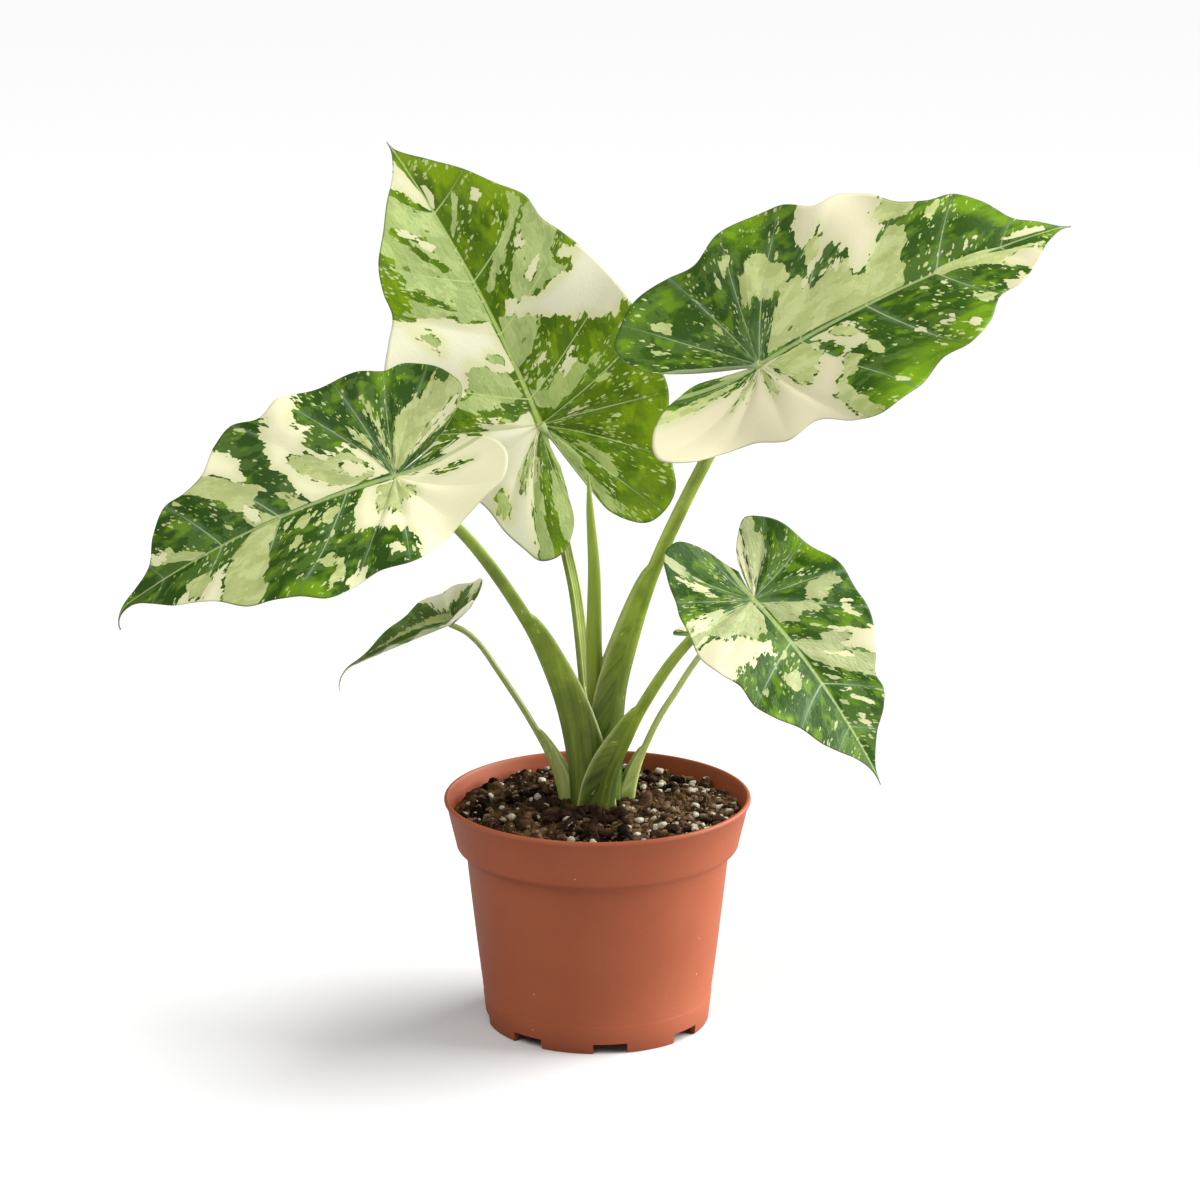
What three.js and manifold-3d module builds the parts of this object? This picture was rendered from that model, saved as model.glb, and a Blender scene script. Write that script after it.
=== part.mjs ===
// A potted variegated giant taro: six heart-shaped leaves on channelled stalks, one new leaf still rolled,
// the short corm they grow from, the soil and a thin plastic nursery pot.
// Millimetres, +Z up. The origin is on the ground under the middle of the pot, and the front is -Y.
import * as THREE from "three";
import { mergeVertices } from "three/addons/utils/BufferGeometryUtils.js";
import Module from "manifold-3d";

const wasm = await Module();
wasm.setup();

// Pot
const potHeight = 129.6;
const rimRadius = 85;
const potBaseRadius = 62;
const collarStepHeight = 101;
const underCollarRadius = 73.4;
const collarLowRadius = 78.6;
const potWall = 1.6;
const footRingWidth = 3.4;
const floorUnderside = 7;
const floorTop = 9;
const drainNotches = 8;
const notchWidth = 19;
const notchHeight = 5.8;
const firstNotchAngle = -83.5;
const notchCutLength = 18;
const floorSlotLength = 8;
const floorSlotWidth = 9;
const floorSlotCut = 6;
const floorSlotInset = 5;
const potSegments = 48;

// Soil and corm
const soilGap = 0.35;
const soilEdgeHeight = 119.5;
const soilMoundHeight = 125.5;
const soilEdgeRadius = 79.5;
const stemWellTopRadius = 27;
const stemWellFootRadius = 21;
const stemWellDepth = 20;
const cormTop = 111.5;
const cormBottom = 78;
const cormRadius = 17.5;
const cormGap = 0.4;
const cormSegments = 32;
const wellSegments = 36;
const perliteGrains = 26;
const perliteRadius = [1.3, 2.4];
const perliteReach = [27, 72];
const perliteRise = 0.9;
const barkChips = 13;
const barkLength = [7, 13];
const barkWidth = [3, 5];
const barkThickness = 2.2;
const barkReach = [29, 67];
const barkRise = 0.6;
const soilRings = [23, 31, 40, 50, 60, 70];
const lumpHeight = 3.4;

// Blades and stalks
const bladeThickness = 0.9;
const touchGap = 0.3;
const weldDistance = 1e-3;
const veinSlant = 0.65;
const veinArch = 0.22;
const quiltHeight = 0.55;
const acrossBlade = [0, 0.07, 0.22, 0.42, 0.62, 0.82, 1];
const thinnestRib = 0.15;
const fullQuiltWidth = 30;
const stalkFoot = 112;
const stalkSteps = 15;
const backSteps = 6;
const stalkEndReach = 1.5;
const sheathWall = 1.5;
const sheathOpening = 0.62;
const sheathTaper = 1.3;
const newLeafSteps = 14;
const newLeafSides = 12;

const colours = {
  pot: 0xb5613f,
  soil: 0x3a2a20,
  corm: 0x7a5b3c,
  blade: 0x5f8a3c,
  stalk: 0x86a548,
  newLeaf: 0x6f9440,
};

const degrees = THREE.MathUtils.degToRad;
const vector = (values) => new THREE.Vector3(...values);

// Each leaf blade has its own flat frame: x runs along the midrib from where the stalk joins it, and y to its
// left. heading, climb and roll turn that frame. droop bends the midrib down towards the tip, bow bends it
// sideways, cup lifts the two halves, fall lets them drop again, and lobeLift raises the lobes behind the
// stalk.
// left and right are the margins from the cleft between the lobes to the tip, in pairs of points.
const leaves = [
  {
    name: "leaf_1",
    attach: [-109, -25, 317],
    heading: 190,
    climb: -14,
    roll: -33,
    length: 160,
    droop: 28,
    bow: 0,
    cup: 0.22,
    fall: 0.13,
    lobeLift: 0.8,
    wave: 3.5,
    waveLength: 52,
    dripDroop: 70,
    ribHeight: 2.6,
    left: [
      [-25, -8], [-42, -5], [-53, 4], [-59, 24], [-52, 42], [-38, 48], [-24, 54], [-8, 65], [8, 74],
      [26, 69], [40, 73], [54, 78], [68, 67], [82, 58], [96, 54], [110, 41], [124, 31], [135, 24],
      [148, 12], [158, 4], [170, 1.3],
    ],
    right: [
      [-24, -10.5], [-38, -19], [-49, -32], [-45, -45], [-36, -59], [-24, -68], [-12, -65], [2, -69],
      [16, -71], [32, -70], [46, -69], [58, -63], [74, -69], [86, -59], [98, -44], [110, -40],
      [123, -40], [135, -27], [143, -12], [156, -5], [170, -1.3],
    ],
    tip: 184,
    stalk: {
      route: [
        [-4, -5, 106], [-9, -8, 150], [-16, -11, 182], [-24.5, -13, 206], [-38, -16, 235], [-74, -22, 287],
      ],
      footRadius: 9.6,
      shoulderRadius: 4.4,
      topRadius: 3.2,
      sheathLength: 135,
      sheathDepth: 9,
    },
  },
  {
    name: "leaf_2",
    attach: [-32, 72, 323],
    heading: 186,
    climb: 69,
    roll: -74,
    length: 170,
    droop: 28,
    bow: 5,
    cup: 0.19,
    fall: 0.13,
    lobeLift: 0.92,
    wave: 4,
    waveLength: 58,
    dripDroop: 10,
    ribHeight: 2.6,
    left: [
      [-26, -1], [-42, 3], [-55, 8], [-65, 24], [-63, 37], [-54, 42], [-42, 47], [-26, 50], [-10, 60],
      [10, 70], [30, 76], [48, 77], [64, 73], [78, 62], [90, 52], [104, 50], [118, 45], [134, 32],
      [148, 21], [161, 9], [174, 1.5],
    ],
    right: [
      [-26, -7], [-42, -10], [-57, -13], [-69, -26], [-68, -38], [-60, -51], [-46, -58], [-30, -66],
      [-12, -73], [4, -74], [24, -75], [44, -73], [60, -69], [76, -65], [92, -57], [104, -50],
      [119, -48], [132, -38], [147, -27], [160, -14], [174, -1.5],
    ],
    tip: 181,
    stalk: {
      route: [
        [-3, 8, 106], [-4, 20, 150], [-7.5, 36, 192], [-12.5, 53, 231], [-18, 64, 255], [-27, 73, 300],
      ],
      footRadius: 7,
      shoulderRadius: 3.8,
      topRadius: 3,
      sheathLength: 80,
      sheathDepth: 6,
    },
  },
  {
    name: "leaf_3",
    attach: [88, 8, 371],
    heading: 2,
    climb: 32,
    roll: 37,
    length: 182,
    droop: 33,
    bow: 10,
    cup: 0.24,
    fall: 0.13,
    lobeLift: 1,
    wave: 4,
    waveLength: 55,
    dripDroop: 15,
    ribHeight: 2.8,
    left: [
      [-20, 9], [-38, 17], [-54, 20], [-63, 38], [-54, 53], [-40, 67], [-20, 77], [-2, 74], [16, 82],
      [34, 86], [50, 81], [66, 68], [82, 71], [96, 64], [107, 50], [122, 43], [138, 42], [151, 31],
      [163, 15], [176, 8], [188, 1.5],
    ],
    right: [
      [-18, 4], [-36, 5], [-53, -5], [-66, -28], [-68, -51], [-55, -57], [-38, -54], [-22, -55], [-4, -68],
      [14, -63], [30, -76], [46, -86], [66, -78], [86, -65], [101, -67], [117, -56], [132, -38], [145, -35],
      [160, -24], [174, -10], [188, -1.5],
    ],
    tip: 196,
    stalk: {
      route: [
        [5, 1, 106], [7, 1, 150], [10, 1, 188], [17, 2, 216], [31, 4, 259], [60, 6, 321],
      ],
      footRadius: 8.4,
      shoulderRadius: 4.4,
      topRadius: 3.5,
      sheathLength: 155,
      sheathDepth: 9,
    },
  },
  {
    name: "leaf_4",
    attach: [84, -42, 253],
    heading: -42,
    climb: -33,
    roll: 18,
    length: 115,
    droop: 19,
    bow: -5.5,
    cup: 0.18,
    fall: 0.1,
    lobeLift: 0.65,
    wave: 2.5,
    waveLength: 36,
    dripDroop: 15,
    ribHeight: 2,
    left: [
      [-15, 5], [-25, 8], [-34, 15], [-40, 24], [-35, 34], [-27, 41], [-14, 47], [0, 50], [14, 53],
      [26, 52], [39, 48], [52, 43], [62, 37], [72, 29], [81, 28], [90, 22], [98, 13], [107, 6],
      [115, 1.5],
    ],
    right: [
      [-18, 4], [-25.5, 0], [-36, -6.5], [-45, -20], [-41, -34], [-30, -39], [-18, -42], [-6, -49], [8, -52],
      [22, -54], [33, -53], [43, -46], [56, -45], [67, -40], [78, -29], [90, -22], [98, -15], [106, -7],
      [115, -1.5],
    ],
    tip: 124,
    stalk: {
      route: [
        [1, -10, 106], [6, -16, 146], [15.5, -21, 170], [26.5, -27, 193], [44.5, -34, 222], [66, -40, 245],
      ],
      footRadius: 7.8,
      shoulderRadius: 3.7,
      topRadius: 2.8,
      sheathLength: 85,
      sheathDepth: 8,
    },
  },
  {
    name: "leaf_5",
    attach: [-81, 25, 222],
    heading: 164,
    climb: -26,
    roll: -10,
    length: 66,
    droop: 4,
    bow: -7,
    cup: 0.27,
    fall: -0.09,
    lobeLift: 0.86,
    wave: 1.4,
    waveLength: 24,
    dripDroop: 60,
    ribHeight: 1.2,
    left: [
      [-10, 3], [-20, 7], [-23, 13], [-19, 20], [-10, 27], [1, 30], [12, 29], [22, 28],
      [32, 24], [41, 20], [50, 12], [58, 6], [65, 2.5], [75, 1],
    ],
    right: [
      [-10, -3], [-20, -6], [-23, -12], [-20, -19], [-11, -26], [0, -29], [10, -31], [21, -28],
      [31, -25], [41, -19], [50, -13], [58, -6], [65, -2.5], [75, -1],
    ],
    tip: 88,
    stalk: {
      route: [
        [-14, 4, 106], [-22, 6, 141], [-37, 12, 169], [-55, 18, 196], [-65, 22, 209.5], [-73, 24, 216.5],
      ],
      footRadius: 4.6,
      shoulderRadius: 2,
      topRadius: 1.6,
      sheathLength: 62,
      sheathDepth: 5,
    },
  },
  {
    name: "leaf_6",
    attach: [69, 20, 216],
    heading: 28,
    climb: 1,
    roll: 0,
    length: 62,
    droop: 10,
    bow: 5,
    cup: 0.1,
    fall: 0,
    lobeLift: 0.1,
    wave: 1.4,
    waveLength: 24,
    dripDroop: 45,
    ribHeight: 1.2,
    left: [
      [-10, 3], [-20, 5], [-26, 8], [-24, 12], [-13, 18], [-1, 25], [10, 29], [21, 27],
      [31, 24], [41, 18], [49, 12], [56, 6], [62, 2.5], [70, 1],
    ],
    right: [
      [-10, -3], [-20, -7], [-23, -13], [-19, -20], [-10, -26], [1, -29], [12, -28], [22, -27],
      [32, -23], [40, -19], [48, -12], [55, -6], [62, -2.5], [70, -1],
    ],
    tip: 78,
    stalk: {
      route: [
        [14, 5, 106], [21, 7, 141], [33, 11, 169], [43, 13, 185], [53, 16.5, 200], [61, 18.5, 209.5],
      ],
      footRadius: 4.6,
      shoulderRadius: 2,
      topRadius: 1.7,
      sheathLength: 50,
      sheathDepth: 5,
    },
  },
];

// seamStart and seamTurn say in degrees where the edge of the roll starts and how far it winds, and rollStep
// is the height of that edge as a share of the radius.
const newLeaf = {
  route: [[1, 3, 106], [-1, 5, 170], [-2, 6, 215], [-2, 6, 258], [-4, 7, 289], [-5, 8, 310]],
  radii: [4.6, 4.9, 4.7, 3.6, 2.3, 0.6],
  seamStart: -60,
  seamTurn: 50,
  rollStep: 0.14,
};

// Positions only, with shared corners merged.
function bare(geometry) {
  const plain = geometry.clone();
  for (const name of Object.keys(plain.attributes)) {
    if (name !== "position") plain.deleteAttribute(name);
  }
  return mergeVertices(plain, weldDistance);
}

function solid(geometry) {
  const merged = bare(geometry);
  return new wasm.Manifold(
    new wasm.Mesh({
      numProp: 3,
      vertProperties: new Float32Array(merged.attributes.position.array),
      triVerts: new Uint32Array(merged.index.array),
    }),
  );
}

function surfaceOf(body) {
  const mesh = body.getMesh();
  const geometry = new THREE.BufferGeometry();
  geometry.setAttribute("position", new THREE.BufferAttribute(mesh.vertProperties.slice(), 3));
  geometry.setIndex(new THREE.BufferAttribute(mesh.triVerts.slice(), 1));
  geometry.computeVertexNormals();
  return geometry;
}

// The biggest of the bodies that a cut leaves, with corners closer than the weld distance joined.
function largest(body) {
  const biggest = (whole) => whole.decompose().reduce((a, b) => (a.volume() > b.volume() ? a : b));
  return biggest(solid(surfaceOf(biggest(body))));
}

function geometryFrom(points, triangles) {
  const geometry = new THREE.BufferGeometry();
  const flat = points.flatMap((p) => [p.x, p.y, p.z]);
  geometry.setAttribute("position", new THREE.Float32BufferAttribute(flat, 3));
  geometry.setIndex(triangles.flat());
  geometry.computeVertexNormals();
  return geometry;
}

// A repeatable random number from 0 to 1.
function randomFrom(seed) {
  let state = seed;
  return () => {
    state = (state * 1664525 + 1013904223) % 4294967296;
    return state / 4294967296;
  };
}

// The two unit vectors across and above the midrib, and the one along it.
function leafFrame(leaf) {
  const turn = degrees(leaf.heading);
  const rise = degrees(leaf.climb);
  const roll = degrees(leaf.roll);
  const along = new THREE.Vector3(
    Math.cos(rise) * Math.cos(turn),
    Math.cos(rise) * Math.sin(turn),
    Math.sin(rise),
  );
  const level = new THREE.Vector3(-Math.sin(turn), Math.cos(turn), 0);
  const above = along.clone().cross(level);
  const across = level.multiplyScalar(Math.cos(roll)).addScaledVector(above, Math.sin(roll));
  return { along, across, up: along.clone().cross(across) };
}

// How far an arc of this length and turn, started at an angle, goes forward and down.
function arcReach(length, startAngle, turn) {
  if (Math.abs(turn) < 1e-6) {
    return { forward: length * Math.cos(startAngle), down: length * Math.sin(startAngle) };
  }
  const radius = length / turn;
  return {
    forward: radius * (Math.sin(startAngle + turn) - Math.sin(startAngle)),
    down: radius * (Math.cos(startAngle) - Math.cos(startAngle + turn)),
  };
}

// The midrib and the blade's two other directions at a distance from the stalk.
function midribAt(leaf, frame, x) {
  if (x <= 0) return { centre: vector(leaf.attach).addScaledVector(frame.along, x), ...frame };
  const droop = degrees(leaf.droop);
  const onBlade = Math.min(x, leaf.length);
  const bladeTurn = (droop * onBlade) / leaf.length;
  const reach = arcReach(onBlade, 0, bladeTurn);
  let angle = bladeTurn;
  if (x > leaf.length) {
    const past = x - leaf.length;
    const tipTurn = (degrees(leaf.dripDroop) * past) / (leaf.tip - leaf.length);
    const tipReach = arcReach(past, bladeTurn, tipTurn);
    reach.forward += tipReach.forward;
    reach.down += tipReach.down;
    angle += tipTurn;
  }
  const centre = vector(leaf.attach)
    .addScaledVector(frame.along, reach.forward)
    .addScaledVector(frame.up, -reach.down);
  const up = frame.along
    .clone()
    .multiplyScalar(Math.sin(angle))
    .addScaledVector(frame.up, Math.cos(angle));
  return { centre, across: frame.across, up };
}

// The middle surface of a blade at x along the midrib and y across it. side is 1 on the left half and -1 on
// the right.
function skinPoint(leaf, frame, x, y, side, lift = 0) {
  const { centre, across, up } = midribAt(leaf, frame, x);
  const ahead = Math.max(x, 0);
  const behind = Math.min(x, 0);
  const sideways = (degrees(leaf.bow) * ahead * ahead) / (2 * leaf.length);
  const reach = Math.abs(y) / (0.45 * leaf.length);
  const phase = side > 0 ? 0.5 : 2;
  const wave = leaf.wave * reach * reach * Math.sin((2 * Math.PI * x) / leaf.waveLength + phase);
  const height =
    leaf.cup * Math.abs(y) -
    (leaf.fall * y * y) / leaf.length +
    (leaf.lobeLift * behind * behind) / leaf.length +
    wave +
    lift;
  return centre.addScaledVector(across, y + sideways).addScaledVector(up, height);
}

// Both margins as rows of points from midrib to margin. Each row is a side vein or lies midway between two.
function bladeRows(leaf) {
  const count = leaf.left.length;
  return Array.from({ length: count }, (_, i) => {
    const [lx, ly] = leaf.left[i];
    const [rx, ry] = leaf.right[i];
    const start = Math.max(0, (lx + rx) / 2 - (veinSlant * (Math.abs(ly) + Math.abs(ry))) / 2);
    return { start, left: leaf.left[i], right: leaf.right[i], ridge: i % 2 === 1 ? 1 : -1 };
  });
}

// One closed blade: the upper and lower faces have the same triangles, a blade's thickness apart, and the
// midrib stands out below.
function bladeGeometry(leaf) {
  const frame = leafFrame(leaf);
  const rows = bladeRows(leaf);
  const sites = [];
  const keys = new Map();
  const site = (x, y, side, lift, rib) => {
    const key = `${x.toFixed(4)},${y.toFixed(4)}`;
    if (!keys.has(key)) {
      keys.set(key, sites.length);
      sites.push({ x, y, side, lift, rib });
    }
    return keys.get(key);
  };
  const grid = {};
  for (const [label, side] of [["left", 1], ["right", -1]]) {
    grid[label] = rows.map((row) => {
      const [ex, ey] = row[label];
      return acrossBlade.map((t) => {
        const along = t + veinArch * t * (t - 1);
        const swell = quiltHeight * Math.min(1, Math.abs(ey) / fullQuiltWidth);
        const lift = row.ridge * swell * Math.sin(Math.PI * t);
        const x = row.start + (ex - row.start) * along;
        const rib = leaf.ribHeight * Math.max(thinnestRib, 1 - x / leaf.length);
        return site(x, ey * t, side, lift, t === 0 ? rib : 0);
      });
    });
    grid[label].push(acrossBlade.map(() => site(leaf.tip, 0, side, 0, 0)));
  }
  const faces = [];
  const addFace = (a, b, c) => {
    if (a !== b && b !== c && a !== c) faces.push([a, b, c]);
  };
  for (const [label, side] of [["left", 1], ["right", -1]]) {
    for (let i = 0; i < rows.length; i++) {
      for (let j = 0; j < acrossBlade.length - 1; j++) {
        const a = grid[label][i][j];
        const b = grid[label][i + 1][j];
        const c = grid[label][i + 1][j + 1];
        const d = grid[label][i][j + 1];
        if (side > 0) {
          addFace(a, b, c);
          addFace(a, c, d);
        } else {
          addFace(a, c, b);
          addFace(a, d, c);
        }
      }
    }
  }
  const middle = sites.map((s) => skinPoint(leaf, frame, s.x, s.y, s.side, s.lift));
  const skin = geometryFrom(middle, faces);
  const normals = middle.map((_, i) => new THREE.Vector3().fromBufferAttribute(skin.attributes.normal, i));
  const half = bladeThickness / 2;
  const upper = middle.map((p, i) => p.clone().addScaledVector(normals[i], half));
  const lower = middle.map((p, i) => p.clone().addScaledVector(normals[i], -half - sites[i].rib));
  const edges = new Map();
  for (const [a, b, c] of faces) {
    for (const [from, to] of [[a, b], [b, c], [c, a]]) edges.set(`${from}_${to}`, [from, to]);
  }
  const rim = [...edges.values()].filter(([from, to]) => !edges.has(`${to}_${from}`));
  const count = middle.length;
  const triangles = [
    ...faces,
    ...faces.map(([a, b, c]) => [a + count, c + count, b + count]),
    ...rim.flatMap(([from, to]) => [
      [from, from + count, to + count],
      [from, to + count, to],
    ]),
  ];
  return geometryFrom([...upper, ...lower], triangles);
}

// The blade moved a touch gap each way, so that what is cut by all of these stays clear of it.
function bladeClearance(leaf) {
  const frame = leafFrame(leaf);
  const still = new THREE.Vector3();
  const moves = [still, frame.up, frame.across, frame.along].flatMap((direction) => [
    direction.clone().multiplyScalar(touchGap),
    direction.clone().multiplyScalar(-touchGap),
  ]);
  return moves.slice(1).map((move) => solid(bladeGeometry(leaf).translate(move.x, move.y, move.z)));
}

// Rings of points joined into one closed body, with flat ends.
function loft(rings, section) {
  const size = section.length;
  const triangles = [];
  for (let i = 0; i < rings.length - 1; i++) {
    for (let j = 0; j < size; j++) {
      const a = i * size + j;
      const b = i * size + ((j + 1) % size);
      triangles.push([a, b, b + size]);
      triangles.push([a, b + size, a + size]);
    }
  }
  const last = (rings.length - 1) * size;
  for (const [a, b, c] of THREE.ShapeUtils.triangulateShape(section, [])) {
    triangles.push([a, c, b]);
    triangles.push([a + last, b + last, c + last]);
  }
  return geometryFrom(rings.flat(), triangles);
}

// A stalk's section: a round back and two wings that stand towards the middle of the plant.
// open is 0 on the plain stalk, where only a shallow channel is left, and 1 in the full sheath.
function stalkSection(radius, depth, open, grow) {
  const outer = radius + grow;
  const back = [];
  for (let k = 0; k <= backSteps; k++) {
    const angle = Math.PI + (Math.PI * k) / backSteps;
    back.push([outer * Math.cos(angle), outer * Math.sin(angle)]);
  }
  const wing = radius * 0.72 + depth * open + grow;
  const wall = THREE.MathUtils.lerp(radius * 0.62, sheathWall, open) + 2 * grow;
  const side = outer * (1 + 0.06 * open);
  const shoulder = side * THREE.MathUtils.lerp(0.94, 1, open);
  const lip = side * THREE.MathUtils.lerp(0.66, 0.96, open);
  const channel = THREE.MathUtils.lerp(radius * 0.62, -radius * 0.35, open) + grow;
  return [
    ...back,
    [shoulder, wing * 0.5],
    [lip, wing],
    [side - wall, wing - 0.3],
    [0, channel],
    [wall - side, wing - 0.3],
    [-lip, wing],
    [-shoulder, wing * 0.5],
  ].map(([x, y]) => new THREE.Vector2(x, y));
}

function stalkGeometry(leaf, grow = 0) {
  const { route, footRadius, shoulderRadius, topRadius, sheathLength, sheathDepth } = leaf.stalk;
  const frame = leafFrame(leaf);
  const end = vector(leaf.attach)
    .addScaledVector(frame.up, -stalkEndReach)
    .addScaledVector(frame.along, stalkEndReach);
  const curve = new THREE.CatmullRomCurve3([...route.map(vector), end], false, "centripetal");
  const length = curve.getLength();
  const inward = vector(route[0]).sub(vector(leaf.attach)).setZ(0).normalize();
  const stations = Array.from({ length: stalkSteps + 1 }, (_, i) => (i / stalkSteps) ** 1.15);
  const sections = stations.map((u) => {
    const height = u * length;
    const below = THREE.MathUtils.clamp((sheathLength - height) / (sheathOpening * sheathLength), 0, 1);
    const above = THREE.MathUtils.clamp((height - sheathLength) / (length - sheathLength), 0, 1);
    const radius =
      height < sheathLength
        ? THREE.MathUtils.lerp(shoulderRadius, footRadius, (1 - height / sheathLength) ** sheathTaper)
        : THREE.MathUtils.lerp(shoulderRadius, topRadius, above);
    return stalkSection(radius, sheathDepth, Math.sqrt(below), grow);
  });
  const rings = stations.map((u, i) => {
    const centre = curve.getPointAt(u);
    const tangent = curve.getTangentAt(u);
    const facing = inward.clone().addScaledVector(tangent, -inward.dot(tangent)).normalize();
    const sideways = tangent.clone().cross(facing);
    return sections[i].map((p) =>
      centre.clone().addScaledVector(sideways, -p.x).addScaledVector(facing, p.y),
    );
  });
  return loft(rings, sections[0]);
}

// The rolled new leaf: a slim spindle whose outer edge overlaps in a low step along its length.
function newLeafGeometry(grow = 0) {
  const curve = new THREE.CatmullRomCurve3(newLeaf.route.map(vector), false, "centripetal");
  const rings = [];
  for (let i = 0; i <= newLeafSteps; i++) {
    const u = i / newLeafSteps;
    const centre = curve.getPoint(u);
    const place = u * (newLeaf.radii.length - 1);
    const low = Math.min(Math.floor(place), newLeaf.radii.length - 2);
    const radius = THREE.MathUtils.lerp(newLeaf.radii[low], newLeaf.radii[low + 1], place - low) + grow;
    const seam = degrees(newLeaf.seamStart + newLeaf.seamTurn * u);
    const ring = [];
    for (let k = 0; k < newLeafSides; k++) {
      const angle = seam + (2 * Math.PI * k) / newLeafSides;
      const reach = radius * (1 - (newLeaf.rollStep * k) / (newLeafSides - 1));
      ring.push(centre.clone().add(vector([reach * Math.cos(angle), reach * Math.sin(angle), 0])));
    }
    rings.push(ring);
  }
  const section = rings[0].map((p) => new THREE.Vector2(p.x, p.y));
  return loft(rings, section);
}

// The outer wall's radius at a height, below the collar.
function wallRadius(z) {
  return THREE.MathUtils.lerp(potBaseRadius, underCollarRadius, z / collarStepHeight);
}

// The corners of the pot's inside, from just under the rim to the floor.
function boreCorners() {
  const low = wallRadius(floorTop) - potWall;
  return [
    [rimRadius - 2.9, potHeight - 2.2],
    [collarLowRadius - potWall, collarStepHeight + 3.6],
    [underCollarRadius - potWall + 0.4, collarStepHeight + 1.2],
    [underCollarRadius - potWall - 0.4, collarStepHeight - 2.4],
    [low, floorTop + 0.8],
    [low - 0.8, floorTop],
  ];
}

function potProfile() {
  const footInner = potBaseRadius - footRingWidth;
  const points = [
    [0, floorUnderside],
    [footInner, floorUnderside],
    [footInner, 0],
    [potBaseRadius - 0.6, 0],
    [wallRadius(0.8), 0.8],
    [wallRadius(16), 16],
    [wallRadius(16.5) - 0.3, 16.5],
    [underCollarRadius - 0.2, collarStepHeight - 0.6],
    [collarLowRadius - 1.6, collarStepHeight + 0.2],
    [collarLowRadius - 0.3, collarStepHeight + 1.6],
    [collarLowRadius, collarStepHeight + 3.6],
    [rimRadius - 1.3, potHeight - 3],
    [rimRadius, potHeight - 2],
    [rimRadius - 0.2, potHeight - 0.6],
    [rimRadius - 1, potHeight],
    [rimRadius - 2.1, potHeight - 0.3],
    ...boreCorners(),
    [0, floorTop],
  ];
  return points.map(([r, z]) => new THREE.Vector2(r, z));
}

// A lathe turned so that its axis is +Z.
function latheUp(profile, segments) {
  const geometry = new THREE.LatheGeometry(profile, segments);
  geometry.rotateX(Math.PI / 2);
  return geometry;
}

function potBody() {
  let body = solid(latheUp(potProfile(), potSegments));
  for (let i = 0; i < drainNotches; i++) {
    const angle = degrees(firstNotchAngle) + (2 * Math.PI * i) / drainNotches;
    const notch = new THREE.BoxGeometry(notchCutLength, notchWidth, notchHeight + 1);
    notch.translate(potBaseRadius - 1, 0, notchHeight / 2 - 0.5);
    notch.rotateZ(angle);
    const slot = new THREE.BoxGeometry(floorSlotLength, floorSlotWidth, floorSlotCut);
    slot.translate(potBaseRadius - footRingWidth - floorSlotInset, 0, floorTop);
    slot.rotateZ(angle);
    body = body.subtract(solid(notch)).subtract(solid(slot));
  }
  return body;
}

// The soil: its sides follow the pot, its top is mounded and lumpy, and grains and chips stand out of it.
function soilBody() {
  const random = randomFrom(31);
  const between = ([low, high]) => low + (high - low) * random();
  const around = potSegments;
  const rings = [...soilRings, soilEdgeRadius];
  const topHeight = (radius) => {
    const share = radius / soilEdgeRadius;
    return soilMoundHeight - (soilMoundHeight - soilEdgeHeight) * share * share;
  };
  const points = [new THREE.Vector3(0, 0, soilMoundHeight)];
  for (const radius of rings) {
    for (let k = 0; k < around; k++) {
      const angle = (2 * Math.PI * k) / around;
      const edge = radius === soilEdgeRadius;
      const lump = edge ? 0 : (random() - 0.5) * lumpHeight;
      points.push(
        new THREE.Vector3(radius * Math.cos(angle), radius * Math.sin(angle), topHeight(radius) + lump),
      );
    }
  }
  const sides = boreCorners().slice(1);
  for (const [bore, z] of sides) {
    const radius = bore - soilGap - 0.3;
    for (let k = 0; k < around; k++) {
      const angle = (2 * Math.PI * k) / around;
      points.push(new THREE.Vector3(radius * Math.cos(angle), radius * Math.sin(angle), z + soilGap));
    }
  }
  const bottom = points.length;
  points.push(new THREE.Vector3(0, 0, floorTop + soilGap));
  const levels = rings.length + sides.length;
  const triangles = [];
  for (let k = 0; k < around; k++) {
    const next = (k + 1) % around;
    triangles.push([0, 1 + k, 1 + next]);
    for (let i = 0; i < levels - 1; i++) {
      const a = 1 + i * around + k;
      const b = 1 + i * around + next;
      triangles.push([a, a + around, b + around]);
      triangles.push([a, b + around, b]);
    }
    const lastRing = 1 + (levels - 1) * around;
    triangles.push([bottom, lastRing + next, lastRing + k]);
  }
  let body = solid(geometryFrom(points, triangles));
  const place = (geometry, radius, sink) => {
    const angle = random() * 2 * Math.PI;
    geometry.rotateX(random() * 3);
    geometry.rotateZ(random() * 6);
    geometry.translate(radius * Math.cos(angle), radius * Math.sin(angle), topHeight(radius) + sink);
    body = body.add(solid(geometry));
  };
  for (let i = 0; i < perliteGrains; i++) {
    place(new THREE.IcosahedronGeometry(between(perliteRadius), 0), between(perliteReach), perliteRise);
  }
  for (let i = 0; i < barkChips; i++) {
    const chip = new THREE.BoxGeometry(between(barkLength), between(barkWidth), barkThickness);
    place(chip, between(barkReach), barkRise);
  }
  const well = new THREE.CylinderGeometry(stemWellTopRadius, stemWellFootRadius, stemWellDepth, wellSegments);
  well.rotateX(Math.PI / 2);
  well.translate(0, 0, cormTop + stemWellDepth / 2);
  const cormWell = latheUp(cormProfile(cormGap), cormSegments);
  return largest(body.subtract(solid(well)).subtract(solid(cormWell)));
}

function cormProfile(grow = 0) {
  const points = [
    [0, cormBottom - grow],
    [cormRadius * 0.55, cormBottom - grow],
    [cormRadius * 0.9 + grow, cormBottom + 8],
    [cormRadius + grow, cormBottom + 18],
    [cormRadius + grow, cormTop - 5],
    [cormRadius - 1 + grow, cormTop + grow],
    [0, cormTop + grow],
  ];
  return points.map(([r, z]) => new THREE.Vector2(r, z));
}

const plant = new THREE.Group();

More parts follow.
